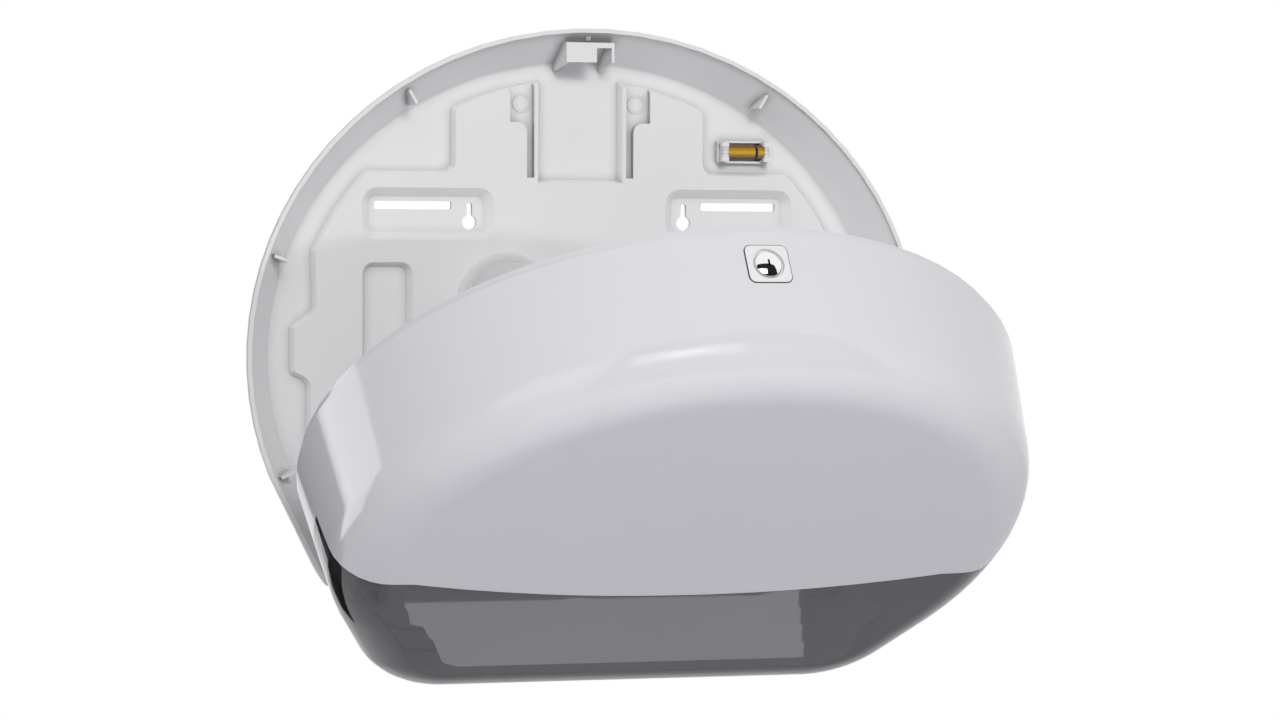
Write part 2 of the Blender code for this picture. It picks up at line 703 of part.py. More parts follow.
def window_region(name, grow):
    """The space that the window fills, wider by a gap where it cuts the shell."""
    half = HALF_WIDTH + OVERRUN
    arc = []
    for k in range(WINDOW_STEPS + 1):
        x = half - 2 * half * k / WINDOW_STEPS
        rise = WINDOW_ARC_RADIUS - math.sqrt(WINDOW_ARC_RADIUS**2 - x**2)
        arc.append((x, WINDOW_ARC_LOW_Z + rise + grow))
    low_z = BOTTOM_Z - OVERRUN
    front_y = -(BODY_DEPTH + OVERRUN)
    face_points = [(-half, low_z), (half, low_z)] + arc
    region = prism(name, face_points, "Y", front_y, COVER_REAR_Y + OVERRUN, "cover")
    slope = (WINDOW_FACE_Z - WINDOW_TIP_Z) / (-BODY_DEPTH - WINDOW_TIP_Y)
    side_points = [
        (front_y, WINDOW_TIP_Z + slope * (front_y - WINDOW_TIP_Y) + grow),
        (WINDOW_TIP_Y + grow, WINDOW_TIP_Z + grow),
        (WINDOW_REAR_Y + grow, WINDOW_REAR_TOP_Z),
        (WINDOW_REAR_Y + grow, low_z),
        (front_y, low_z),
    ]
    side = prism(name + "_side", side_points, "X", -half - OVERRUN, half + OVERRUN, "cover")
    keep(region, side)
    return region


def edge_points(margins, shares, side):
    """An edge of the exit frame from the rear: distances to the body's side, shares of the frame's run."""
    places = zip(margins, shares)
    return [(side * (HALF_WIDTH - across), FRAME_REAR_Y - FRAME_RUN * share) for across, share in places]


def exit_slot(name):
    """The opening in the cover's bottom wall, hidden behind the exit frame's bars and open at the rear."""
    turn_y, front_y = EXIT_COVER_TURN_MARGIN - BODY_DEPTH, EXIT_COVER_FRONT_MARGIN - BODY_DEPTH
    outer = []
    for margins, side in ((EXIT_COVER_LEFT_MARGINS, -1.0), (EXIT_COVER_RIGHT_MARGINS, 1.0)):
        front_x, rear_x = [side * (HALF_WIDTH - margin) for margin in margins]
        outer.append([(rear_x, OVERRUN), (rear_x, turn_y), (front_x, front_y)])
    points = outer[0] + outer[1][::-1]
    return prism(name, points, "Z", BOTTOM_Z - OVERRUN, BOTTOM_Z + CORNER_RADIUS, "cover")


def lock_openings():
    """A square recess for the lock's flange and a round hole for its threaded tube."""
    half_x, half_y = BEZEL_WIDTH / 2 + SEAT_GAP, BEZEL_HEIGHT / 2 + SEAT_GAP
    points = rectangle(-half_x, -half_y, half_x, half_y, BEZEL_CORNER + SEAT_GAP)
    hole = circle(0.0, 0.0, HOUSING_RADIUS + SEAT_GAP, LOCK_STEPS)
    return (
        prism("lock_recess", points, "Z", -BEZEL_RECESS, OVERRUN, "lock"),
        prism("lock_hole", hole, "Z", -COVER_WALL - OVERRUN, OVERRUN, "lock"),
    )


def cover_shell():
    shell = cover_skin("cover_shell", white_cover)
    slot = exit_slot("cover_exit_slot")
    cut(shell, window_region("shell_window_opening", SEAT_GAP), slot, *lock_openings())
    for hole in frame_screw_holes("shell_screw_hole", FRAME_SCREW_RADIUS + RUNNING_GAP):
        cut(shell, hole)
    smooth(shell)
    return shell


def cover_window():
    window = cover_skin("cover_window", smoke)
    keep(window, window_region("window_part", 0.0))
    cut(window, exit_slot("window_exit_slot"))
    smooth(window)
    return window


def toothed_slot():
    """The exit slot: saw teeth down its right side, steep to the front, and a stepped left side."""
    x, y = HALF_WIDTH - EXIT_RIGHT_MARGIN, EXIT_FRONT_Y
    right = []
    for k in range(TOOTH_COUNT):
        right.append((x, y))
        x += TOOTH_RUN
        y += TOOTH_PITCH - TOOTH_STEP_LENGTH
        right.append((x, y))
        x -= TOOTH_STEP
        y += TOOTH_STEP_LENGTH
    rear_y = FRAME_REAR_Y + OVERRUN
    right.append((right[-1][0], rear_y))
    left = edge_points(EXIT_LEFT_MARGINS, EXIT_LEFT_SHARES, -1.0)
    left.append((left[-1][0], rear_y))
    points = left[::-1] + right
    return prism("toothed_slot", points, "Z", BOTTOM_Z - OVERRUN, BOTTOM_Z + CORNER_RADIUS, "cover")


def frame_strip():
    """The band of the cover's inner wall that the exit frame lies on, as an open strip."""
    depth = COVER_WALL + SEAT_GAP
    half_span = math.pi / 2 + FRAME_END_ANGLE
    bends = [y for _, y in inner_profile(depth)[1:] if y > FRAME_FRONT_Y]
    rows = []
    for y in [FRAME_REAR_Y] + bends + [FRAME_FRONT_Y]:
        row = []
        for k in range(FRAME_STEPS):
            angle = -math.pi / 2 + half_span * (2 * k / (FRAME_STEPS - 1) - 1)
            x, z = outline_point(angle, inset_at(y, depth))
            row.append((x, y, z))
        rows.append(row)
    bm = bmesh.new()
    loft(bm, rows, ring=False)
    return bm


def inner_body(name, extra):
    """The closed space inside the cover's wall, used to end pieces in the frame's thickness."""
    side = inner_profile(COVER_WALL + SEAT_GAP + extra)
    rings = []
    for inset, y in [(side[0][0], COVER_REAR_Y + OVERRUN)] + side:
        rings.append([(x, y, z) for x, z in outline(inset)])
    bm = bmesh.new()
    loft(bm, rings, close_start=True, close_end=True)
    return place_object(name, mesh_of(name, bm), "cover")


def ear_outline():
    """The hinge ear from the side, with Y and Z: a foot on the bar and a round end on the axis."""
    foot_z = BOTTOM_Z
    arc = on_circle(HINGE_Y, HINGE_Z, EAR_RADIUS, span(0.0, math.pi, ROUND_END_STEPS))
    return [(HINGE_Y - EAR_FOOT_HALF, foot_z), (HINGE_Y + EAR_FOOT_HALF, foot_z)] + arc


def arm_edge():
    """The lower edge of the plate's arm: its root corner and its unit direction to the round end."""
    root = Vector((RAISED_Y, ARM_ROOT_LOW_Z))
    centre = Vector((HINGE_Y, HINGE_Z))
    way = centre - root
    lean = math.asin(ARM_RADIUS / way.length)
    heading = math.atan2(way.y, way.x) + lean
    return root, Vector((math.cos(heading), math.sin(heading)))


def stop_place():
    """Where the stop peg sits on the closed ear so that it meets the arm when the cover is open."""
    root, along = arm_edge()
    away = Vector((-along.y, along.x))
    if away.y > 0:
        away = -away
    open_spot = root + along * (STOP_REACH / abs(along.x)) + away * (STOP_RADIUS + SEAT_GAP)
    arm = open_spot - Vector((HINGE_Y, HINGE_Z))
    angle = math.atan2(arm.y, arm.x) - OPEN_ANGLE
    return HINGE_Y + arm.length * math.cos(angle), HINGE_Z + arm.length * math.sin(angle)


def sides(name):
    """The two hands of a paired piece: its name and which way it faces."""
    return ((name + "_left", -1.0), (name + "_right", 1.0))


def frame_screw_places():
    """Where each frame screw crosses the cover's outer wall, and its angle about Y."""
    corner_z = BOTTOM_Z + CORNER_RADIUS
    for side in (-1.0, 1.0):
        for share in FRAME_SCREW_SHARES:
            y = FRAME_REAR_Y - FRAME_RUN * share
            radius = CORNER_RADIUS - inset_at(y)
            lean = math.asin((FRAME_SCREW_X - FLAT_BOTTOM_HALF) / radius)
            x = side * FRAME_SCREW_X
            yield (x, y, corner_z - radius * math.cos(lean)), -side * lean


def frame_screw_holes(name, radius):
    made = []
    for k, (spot, lean) in enumerate(frame_screw_places()):
        profile = [(0.0, OVERRUN * 2), (radius, OVERRUN * 2), (radius, -OVERRUN), (0.0, -OVERRUN)]
        made.append(turned(f"{name}_{k + 1}", profile, "cover", None, spot, (0.0, lean, 0.0),
                          SCREW_STEPS))
    return made


def add_frame_relief(frame, limit):
    """The low round pad on the frame's right bar and the two low ribs across its left one."""
    low_z, high_z = BOTTOM_Z - OVERRUN, BOTTOM_Z + CORNER_RADIUS
    pad_x, pad_y = HALF_WIDTH - PAD_MARGIN, PAD_FRONT_MARGIN - BODY_DEPTH
    pad = prism("frame_pad", circle(pad_x, pad_y, PAD_RADIUS, PAD_STEPS), "Z", low_z, high_z, "cover")
    edge_x = HALF_WIDTH - FRAME_RIGHT_MARGINS[0]
    rear_y = pad_y + PAD_RADIUS + OVERRUN
    field = rectangle(pad_x - PAD_RADIUS - OVERRUN, FRAME_FRONT_Y + SINK, edge_x, rear_y)
    field_block = prism("frame_pad_field", field, "Z", low_z - OVERRUN, high_z + OVERRUN, "cover")
    keep(pad, field_block, limit)
    cut(pad, inner_body("frame_pad_top", FRAME_WALL + PAD_HEIGHT))
    join(frame, pad)
    rib_top = inner_body("cross_rib_top", FRAME_WALL + CROSS_RIB_HEIGHT)
    outer_x, inner_x = CROSS_RIB_OUTER_MARGIN - HALF_WIDTH, CROSS_RIB_INNER_MARGIN - HALF_WIDTH
    for k, margin in enumerate(CROSS_RIB_FRONT_MARGINS):
        y = margin - BODY_DEPTH
        band = rectangle(outer_x, y, inner_x, y + CROSS_RIB_WALL)
        rib = prism(f"cross_rib_{k}", band, "Z", low_z, high_z, "cover")
        keep(rib, limit)
        cut(rib, rib_top)
        join(frame, rib)


def exit_frame():
    """The white U of bars with its teeth, relief, hinge ears, stop pegs and screw bosses."""
    frame = place_object("exit_frame", mesh_of("exit_frame", frame_strip()), "cover", white_frame)
    wall = frame.modifiers.new("wall", "SOLIDIFY")
    wall.thickness = FRAME_WALL
    wall.offset = -1.0
    wall.use_even_offset = True
    limit = inner_body("frame_limit", FRAME_WALL / 2)
    add_frame_relief(frame, limit)
    edges = {-1.0: (FRAME_LEFT_MARGINS, FRAME_LEFT_SHARES), 1.0: (FRAME_RIGHT_MARGINS, FRAME_RIGHT_SHARES)}
    for name, side in sides("frame"):
        points = edge_points(*edges[side], side)
        outer_x, front_y = side * (HALF_WIDTH + OVERRUN), -BODY_DEPTH - OVERRUN
        points += [(points[-1][0], front_y), (outer_x, front_y), (outer_x, points[0][1])]
        high_z = BOTTOM_Z + CORNER_RADIUS * 2
        cut(frame, prism(name + "_edge", points, "Z", BOTTOM_Z - OVERRUN, high_z, "cover"))
    for name, side in sides("ear"):
        inner, outer = side * EAR_INNER_X, side * (EAR_INNER_X + EAR_WALL)
        ear = prism(name, ear_outline(), "X", inner, outer, "cover")
        keep(ear, limit)
        join(frame, ear)
        stop_y, stop_z = stop_place()
        reach = side * (EAR_INNER_X + EAR_WALL + SEAT_GAP + ARM_WALL)
        disc = circle(stop_y, stop_z, STOP_RADIUS, SCREW_STEPS)
        peg = prism("stop_" + name, disc, "X", inner + side * SINK, reach, "cover")
        keep(peg, limit)
        join(frame, peg)
    for k, (spot, lean) in enumerate(frame_screw_places()):
        start = COVER_WALL + SEAT_GAP + FRAME_WALL / 2
        profile = [(0.0, start + FRAME_BOSS_HEIGHT), (FRAME_BOSS_RADIUS, start + FRAME_BOSS_HEIGHT),
                   (FRAME_BOSS_RADIUS, start), (0.0, start)]
        join(frame, turned(f"frame_boss_{k + 1}", profile, "cover", None, spot, (0.0, lean, 0.0)))
    for name, side in sides("ear_bore"):
        hole = circle(HINGE_Y, HINGE_Z, PIN_RADIUS + RUNNING_GAP, SMALL_STEPS)
        start = side * (EAR_INNER_X - OVERRUN)
        cut(frame, prism(name, hole, "X", start, side * (EAR_INNER_X + EAR_WALL + OVERRUN), "cover"))
    for k, (spot, lean) in enumerate(frame_screw_places()):
        radius = FRAME_SCREW_RADIUS + RUNNING_GAP
        depth = COVER_WALL + FRAME_BOSS_HEIGHT
        profile = [(0.0, depth), (radius, depth), (radius, 0.0), (0.0, 0.0)]
        cut(frame, turned(f"frame_boss_bore_{k + 1}", profile, "cover", None, spot, (0.0, lean, 0.0),
                          SCREW_STEPS))
    cut(frame, toothed_slot())
    smooth(frame)
    return frame


def screw_profile(radius, length, head_radius, head_length, point):
    """A pan head on a plain shank with a short point, from the head down."""
    return [
        (0.0, head_length),
        (head_radius * CROWN_SHARE, head_length),
        (head_radius, head_length * HEAD_ROUND_SHARE),
        (head_radius, 0.0),
        (radius, 0.0),
        (radius, -(length - point)),
        (radius * POINT_SHARE, -length),
        (0.0, -length),
    ]


def frame_screws():
    length = COVER_WALL + FRAME_BOSS_HEIGHT - SINK
    head = (FRAME_SCREW_HEAD_RADIUS, FRAME_SCREW_HEAD_LENGTH)
    profile = screw_profile(FRAME_SCREW_RADIUS, length, *head, SINK)
    for k, (spot, lean) in enumerate(frame_screw_places()):
        under = Vector(spot) - Vector((math.sin(lean), 0.0, math.cos(lean))) * SEAT_GAP
        turn = (0.0, lean + math.pi, 0.0)
        turned(f"frame_screw_{k + 1}", profile, "cover", zinc, under, turn, SCREW_STEPS)


def raised_outline():
    """The raised middle of the plate, stepped round the level and the recesses, from its upper right."""
    def on_ellipse(x):
        return RAISED_RADIUS_Z * math.sqrt(1 - (x / RAISED_RADIUS_X) ** 2)

    def arc(x_a, x_b, steps):
        return [(x, on_ellipse(x)) for x in span(x_a, x_b, steps)]

    shoulder_x = RAISED_RADIUS_X * math.sqrt(1 - (STEP_Z / RAISED_RADIUS_Z) ** 2)
    side_x = RAISED_RADIUS_X * math.sqrt(1 - (SIDE_TOP_Z / RAISED_RADIUS_Z) ** 2)
    top = arc(CHANNEL_HALF, STEP_X, RAISED_TOP_STEPS)
    slope = arc(shoulder_x, side_x, RAISED_ARC_STEPS)
    corners = [
        (SIDE_X, EAR_TOP_Z),
        (EAR_OUT_X, EAR_OUT_TOP_Z),
        (EAR_OUT_X, EAR_OUT_LOW_Z),
        (SIDE_LOW_X, EAR_LOW_Z),
        (SIDE_LOW_X, SIDE_LOW_Z),
        (RAISED_BOTTOM_X, RAISED_BOTTOM_Z),
    ]
    points = [(CHANNEL_HALF, CHANNEL_LOW_Z)] + top + [(STEP_X, STEP_Z)] + slope + corners
    radii = [0.0] + [0.0] * (len(top) - 1) + [RAISED_CORNER, RAISED_CORNER, RAISED_CORNER]
    radii += [0.0] * (len(slope) - 1) + [RAISED_CORNER] * len(corners)
    return round_corners(points + mirrored(points), radii + radii[::-1], steps=RAISED_CORNER_STEPS)


def pocket_outline():
    """The stepped side pocket right of the channel: wide at the top, slim below."""
    high_z = RAISED_RADIUS_Z + OVERRUN
    points = [
        (POCKET_INNER_X, CHANNEL_LOW_Z),
        (POCKET_SLIM_X, CHANNEL_LOW_Z),
        (POCKET_SLIM_X, POCKET_STEP_Z),
        (POCKET_WIDE_X, POCKET_STEP_Z),
        (POCKET_WIDE_X, high_z),
        (POCKET_INNER_X, high_z),
    ]
    return round_corners(points, (0.0, 0.0, POCKET_STEP_RADIUS, 0.0, 0.0, 0.0))


def keyhole_outline():
    """A round hole with a narrow neck above it that ends in a half circle."""
    join_z = KEYHOLE_Z + math.sqrt(KEYHOLE_RADIUS**2 - KEYHOLE_NECK_HALF**2)
    start = math.atan2(join_z - KEYHOLE_Z, -KEYHOLE_NECK_HALF)
    end = math.atan2(join_z - KEYHOLE_Z, KEYHOLE_NECK_HALF) + 2 * math.pi
    points = on_circle(KEYHOLE_X, KEYHOLE_Z, KEYHOLE_RADIUS, span(start, end, SMALL_STEPS))
    cap_z = KEYHOLE_TOP_Z - KEYHOLE_NECK_HALF
    return points + on_circle(KEYHOLE_X, cap_z, KEYHOLE_NECK_HALF, span(0.0, math.pi, ROUND_END_STEPS))


def both_sides(points, side):
    return points if side > 0 else mirrored(points)


def plate_dish():
    """The plate's sheet: rim lip, flared wall and flat floor, thickened towards the front."""
    floor_inset = PLATE_FLOOR_INSET
    points = [(0.0, PLATE_RIM_Y), (0.0, PLATE_FLARE_Y), (floor_inset, 0.0), (floor_inset * 2, 0.0)]
    profile = round_corners(points, (0.0, 0.0, PLATE_FLOOR_RADIUS, 0.0), closed=False, steps=3)[:-1]
    bm = bmesh.new()
    loft(bm, [[(x, y, z) for x, z in outline(inset, PLATE_DROP)] for inset, y in profile], close_end=True)
    dish = place_object("back_plate", mesh_of("back_plate", bm), "plate", white_plate)
    wall = dish.modifiers.new("wall", "SOLIDIFY")
    wall.thickness = PLATE_WALL
    wall.offset = -1.0
    wall.use_even_offset = True
    return dish


def fin_points():
    """A fin from the side, as inset and Y: a top level with the rim, with its lower edge in the flare."""
    slope = PLATE_FLARE_Y / PLATE_FLOOR_INSET

    def in_flare(inset):
        return PLATE_FLARE_Y - inset * slope - PLATE_WALL

    return [
        (FIN_OUTER_INSET, FIN_TOP_Y),
        (FIN_OUTER_INSET, in_flare(FIN_OUTER_INSET)),
        (FIN_INNER_INSET, in_flare(FIN_INNER_INSET)),
        (FIN_INNER_INSET, FIN_TOP_Y),
    ]


def add_fins(plate):
    for k, angle in enumerate(FIN_ANGLES):
        bm = bmesh.new()
        rim_x, rim_z = outline_point(angle, 0.0, PLATE_DROP)
        nx, nz = math.cos(angle), math.sin(angle)
        half = FIN_WALL / 2
        rows = []
        for side in (-half, half):
            rows.append([(rim_x - inset * nx - nz * side, y, rim_z - inset * nz + nx * side)
                         for inset, y in fin_points()])
        loft(bm, rows, close_start=True, close_end=True)
        join(plate, place_object(f"fin_{k + 1}", mesh_of(f"fin_{k + 1}", bm), "plate"))


def add_catch(plate):
    """Gussets, box wall, bar and web of the catch, all moulded with the plate."""
    slope = PLATE_FLOOR_INSET / -PLATE_FLARE_Y

    def flare_z(y):
        return TOP_RISE - PLATE_WALL / 2 - (y - PLATE_FLARE_Y) * slope

    side_points = [
        (CATCH_FRONT_Y, CATCH_LOW_Z),
        (CATCH_FRONT_Y, CATCH_HIGH_Z),
        (GUSSET_BACK_Y, flare_z(GUSSET_BACK_Y)),
        (2 * PLATE_FLOOR_Y, flare_z(2 * PLATE_FLOOR_Y)),
        (PLATE_FLOOR_Y / 2, GUSSET_FOOT_Z + CATCH_WALL),
        (PLATE_FLOOR_Y / 2, GUSSET_FOOT_Z),
    ]
    left_end, right_start = CATCH_LEFT_X + CATCH_WALL, CATCH_RIGHT_X - CATCH_WALL
    for name, start in (("gusset_left", CATCH_LEFT_X), ("gusset_right", right_start)):
        join(plate, prism(name, side_points, "X", start, start + CATCH_WALL, "plate"))
    back_y = CATCH_FRONT_Y + CATCH_BOX_WALL
    box = rectangle(left_end - SINK, CATCH_LOW_Z, CATCH_GAP_X, CATCH_HIGH_Z)
    join(plate, prism("catch_box", box, "Y", CATCH_FRONT_Y, back_y, "plate"))
    bar = rectangle(CATCH_GAP_X - SINK, CATCH_HIGH_Z - CATCH_BAR_HEIGHT, right_start + SINK, CATCH_HIGH_Z)
    join(plate, prism("catch_bar", bar, "Y", CATCH_FRONT_Y, back_y, "plate"))
    web_high = CATCH_HIGH_Z - SINK / 2
    web = rectangle(left_end - SINK, web_high - CATCH_WEB_WALL, right_start + SINK, web_high)
    join(plate, prism("catch_web", web, "Y", back_y - SINK, back_y + CATCH_WEB_DEPTH, "plate"))
    nub_z = TOP_RISE - PLATE_WALL - NUB_HEIGHT
    root_z = TOP_RISE - PLATE_WALL / 2
    middle_y = CATCH_FRONT_Y + NUB_DEPTH
    nub = [(middle_y, nub_z), (CATCH_FRONT_Y, root_z), (middle_y + NUB_DEPTH, root_z)]
    join(plate, prism("catch_nub", nub, "X", NUB_X - NUB_WIDTH / 2, NUB_X + NUB_WIDTH / 2, "plate"))


def add_arms(plate):
    """Arms that carry the hinge pins, each from the floor to a round end on the axis."""
    root, along = arm_edge()
    centre = Vector((HINGE_Y, HINGE_Z))
    start = math.atan2(along.y, along.x) - math.pi / 2
    high = Vector((RAISED_Y, ARM_ROOT_HIGH_Z))
    way = centre - high
    heading = math.atan2(way.y, way.x) - math.asin(ARM_RADIUS / way.length)
    end = heading + math.pi / 2
    while start < end:
        start += 2 * math.pi
    foot_y = PLATE_FLOOR_Y / 2
    points = [(foot_y, ARM_ROOT_HIGH_Z), (foot_y, ARM_ROOT_LOW_Z), tuple(root)]
    points += on_circle(HINGE_Y, HINGE_Z, ARM_RADIUS, span(start, end, ROUND_END_STEPS))
    points.append(tuple(high))
    for name, side in sides("arm"):
        inner = side * (EAR_INNER_X + EAR_WALL + SEAT_GAP)
        outer = inner + side * ARM_WALL
        join(plate, prism(name, points, "X", inner, outer, "plate"))
    for name, side in sides("arm_bore"):
        inner = side * (EAR_INNER_X + EAR_WALL - OVERRUN)
        outer = side * (EAR_INNER_X + EAR_WALL + ARM_WALL + OVERRUN)
        cut(plate, prism(name, circle(HINGE_Y, HINGE_Z, PIN_RADIUS + SEAT_GAP), "X", inner, outer, "plate"))


def add_cradle(plate):
    """The level's low frame and the two clips that hold its ends."""
    x_a, x_b = LEVEL_X - CRADLE_HALF_WIDTH, LEVEL_X + CRADLE_HALF_WIDTH
    z_a, z_b = LEVEL_Z - CRADLE_HALF_HEIGHT, LEVEL_Z + CRADLE_HALF_HEIGHT
    foot, top = PLATE_FLOOR_Y / 2, PLATE_FLOOR_Y - CRADLE_RISE
    frame = prism("cradle", rectangle(x_a, z_a, x_b, z_b, CRADLE_WALL), "Y", foot, top, "plate")
    hole = rectangle(x_a + CRADLE_WALL, z_a + CRADLE_WALL, x_b - CRADLE_WALL, z_b - CRADLE_WALL)
    cut(frame, prism("cradle_inside", hole, "Y", OVERRUN, top - OVERRUN, "plate"))
    join(plate, frame)
    for k, x in enumerate((x_a + CRADLE_WALL / 2, x_b - CRADLE_WALL / 2 - CLIP_LENGTH)):
        start, end = x - OVERRUN, x + CLIP_LENGTH + OVERRUN
        block = rectangle(x, LEVEL_Z - CLIP_HALF_HEIGHT, x + CLIP_LENGTH, LEVEL_Z + CLIP_HALF_HEIGHT)
        clip = prism(f"clip_{k}", block, "Y", foot, PLATE_FLOOR_Y - CLIP_RISE, "plate")
        bore = circle(LEVEL_Y, LEVEL_Z, LEVEL_RADIUS + SEAT_GAP)
        cut(clip, prism(f"clip_bore_{k}", bore, "X", start, end, "plate"))
        mouth = rectangle(start, LEVEL_Z - CLIP_MOUTH_HALF, end, LEVEL_Z + CLIP_MOUTH_HALF)
        cut(clip, prism(f"clip_mouth_{k}", mouth, "Y", LEVEL_Y, LEVEL_Y - CLIP_RISE, "plate"))
        join(plate, clip)


def back_plate():
    plate = plate_dish()
    raised = raised_outline()
    join(plate, prism("raised", raised, "Y", PLATE_FLOOR_Y / 2, RAISED_Y, "plate", draft=RAISED_DRAFT))
    under = moved_in(raised, PLATE_WALL)
    hollow = prism("raised_back", under, "Y", OVERRUN, RAISED_Y + PLATE_WALL, "plate", draft=RAISED_DRAFT)
    recess = rectangle(RECESS_INNER_X, RECESS_LOW_Z, RECESS_OUTER_X, RECESS_HIGH_Z, RECESS_CORNER)
    panel = rectangle(PANEL_INNER_X, PANEL_LOW_Z, RECESS_OUTER_X, PANEL_HIGH_Z, PANEL_CORNER)
    for label, shape, draft in (("recess", recess, RECESS_DRAFT), ("panel", panel, PANEL_DRAFT)):
        floor = moved_in(shape, draft - PLATE_WALL)
        for name, side in sides(label):
            dip = both_sides(shape, side)
            cut(plate, prism(name, dip, "Y", RAISED_Y, PLATE_FLOOR_Y, "plate", draft=draft))
            block = both_sides(floor, side)
            cut(hollow, prism(name + "_block", block, "Y", 2 * OVERRUN, RAISED_Y, "plate", draft=-draft))
    pocket_y = PLATE_FLOOR_Y - POCKET_FLOOR_RISE
    for name, side in sides("pocket"):
        pocket = pocket_outline()
        cut(plate, prism(name, both_sides(pocket, side), "Y", RAISED_Y - OVERRUN, pocket_y, "plate"))
        block = rectangle(CHANNEL_HALF, CHANNEL_LOW_Z - PLATE_WALL, POCKET_WIDE_X + PLATE_WALL, TOP_RISE)
        cut(hollow, prism(name + "_block", both_sides(block, side), "Y", 2 * OVERRUN, RAISED_Y, "plate"))
        ring_y = pocket_y - RING_RISE
        disc = circle(side * RING_X, RING_Z, RING_RADIUS, SMALL_STEPS)
        ring = prism(name + "_ring", disc, "Y", PLATE_FLOOR_Y / 2, ring_y, "plate")
        dip = circle(side * RING_X, RING_Z, RING_RADIUS - RING_WIDTH, SMALL_STEPS)
        cut(ring, prism(name + "_dip", dip, "Y", pocket_y - RING_RISE / 4, ring_y - OVERRUN, "plate"))
        join(plate, ring)
    for name, (x, z) in SPINDLE_PLACES.items():
        disc = circle(x, z, SPINDLE_BOSS_RADIUS, SMALL_STEPS)
        cut(hollow, prism(name + "_boss", disc, "Y", -SPINDLE_BOSS_FLOOR / 2, RAISED_Y, "plate"))
    cut(plate, hollow)
    add_fins(plate)
    add_catch(plate)
    add_arms(plate)
    add_cradle(plate)
    low_z, high_z = SLOT_Z - SLOT_HALF_HEIGHT, SLOT_Z + SLOT_HALF_HEIGHT
    slot = rectangle(SLOT_INNER_X, low_z, SLOT_OUTER_X, high_z, SLOT_CORNER)
    for label, shape in (("slot", slot), ("keyhole", keyhole_outline())):
        for name, side in sides(label):
            cut(plate, prism(name, both_sides(shape, side), "Y", OVERRUN, RAISED_Y - OVERRUN, "plate"))
    for name, (x, z) in SPINDLE_PLACES.items():
        hole = circle(x, z, SPINDLE_SCREW_RADIUS + SEAT_GAP, SCREW_STEPS)
        cut(plate, prism(name + "_pilot", hole, "Y", -SPINDLE_BOSS_FLOOR, RAISED_Y - OVERRUN, "plate"))
    low_z = BOTTOM_Z - PLATE_DROP - OVERRUN
    edge = rectangle(-HALF_WIDTH - OVERRUN, low_z, HALF_WIDTH + OVERRUN, PLATE_CUT_Z)
    cut(plate, prism("plate_foot_cut", edge, "Y", PLATE_CUT_Y, PLATE_RIM_Y - OVERRUN, "plate"))
    smooth(plate)
    return plate


def spindle(name, x, z):
    """A flanged hollow hub with ribs inside and two notches at its open end, and its screw."""
    length, edge = SPINDLE_LENGTH, SPINDLE_EDGE
    bore = SPINDLE_TIP_RADIUS - SPINDLE_WALL
    hole = SPINDLE_SCREW_RADIUS + SEAT_GAP
    profile = [
        (bore, length),
        (SPINDLE_TIP_RADIUS - edge, length),
        (SPINDLE_TIP_RADIUS, length - edge),
        (SPINDLE_RADIUS, SPINDLE_FLANGE_WALL + edge),
        (SPINDLE_RADIUS + edge, SPINDLE_FLANGE_WALL),
        (SPINDLE_FLANGE_RADIUS - edge, SPINDLE_FLANGE_WALL),
        (SPINDLE_FLANGE_RADIUS, SPINDLE_FLANGE_WALL - edge),
        (SPINDLE_FLANGE_RADIUS, 0.0),
        (hole, 0.0),
        (hole, SPINDLE_WEB),
        (bore, SPINDLE_WEB),
    ]
    spot = (x, RAISED_Y - SEAT_GAP, z)
    face_front = (math.pi / 2, 0.0, 0.0)
    hub = turned(name, profile, "plate", spindle_white, spot, face_front, HUB_STEPS, closed=True)
    foot_y = RAISED_Y - SEAT_GAP - SPINDLE_WEB / 2
    high_y = foot_y - SPINDLE_RIB_RISE
    clear_radius = SPINDLE_SCREW_HEAD_RADIUS + SINK
    for k, (wide, tall) in enumerate(((1.0, 0.0), (0.0, 1.0))):
        half_x = wide * (bore + SPINDLE_WALL / 2) + tall * SPINDLE_RIB_WALL / 2
        half_z = tall * (bore + SPINDLE_WALL / 2) + wide * SPINDLE_RIB_WALL / 2
        web = rectangle(x - half_x, z - half_z, x + half_x, z + half_z)
        rib = prism(f"{name}_rib_{k}", web, "Y", foot_y, high_y, "plate")
        driver = circle(x, z, clear_radius)
        cut(rib, prism(f"{name}_driver_{k}", driver, "Y", foot_y + OVERRUN, high_y - OVERRUN, "plate"))
        join(hub, rib)
    tip_y = spot[1] - SPINDLE_LENGTH
    reach = SPINDLE_RADIUS + OVERRUN
    notch = rectangle(x - reach, z - SPINDLE_NOTCH_HALF, x + reach, z + SPINDLE_NOTCH_HALF)
    cut(hub, prism(name + "_notch", notch, "Y", tip_y + SPINDLE_NOTCH_DEPTH, tip_y - OVERRUN, "plate"))
    screw = screw_profile(SPINDLE_SCREW_RADIUS, SPINDLE_SCREW_LENGTH, SPINDLE_SCREW_HEAD_RADIUS,
                          SPINDLE_SCREW_HEAD_LENGTH, SPINDLE_SCREW_POINT)
    seat = (x, spot[1] - SPINDLE_WEB - SEAT_GAP, z)
    turned(name + "_screw", screw, "plate", zinc, seat, face_front)


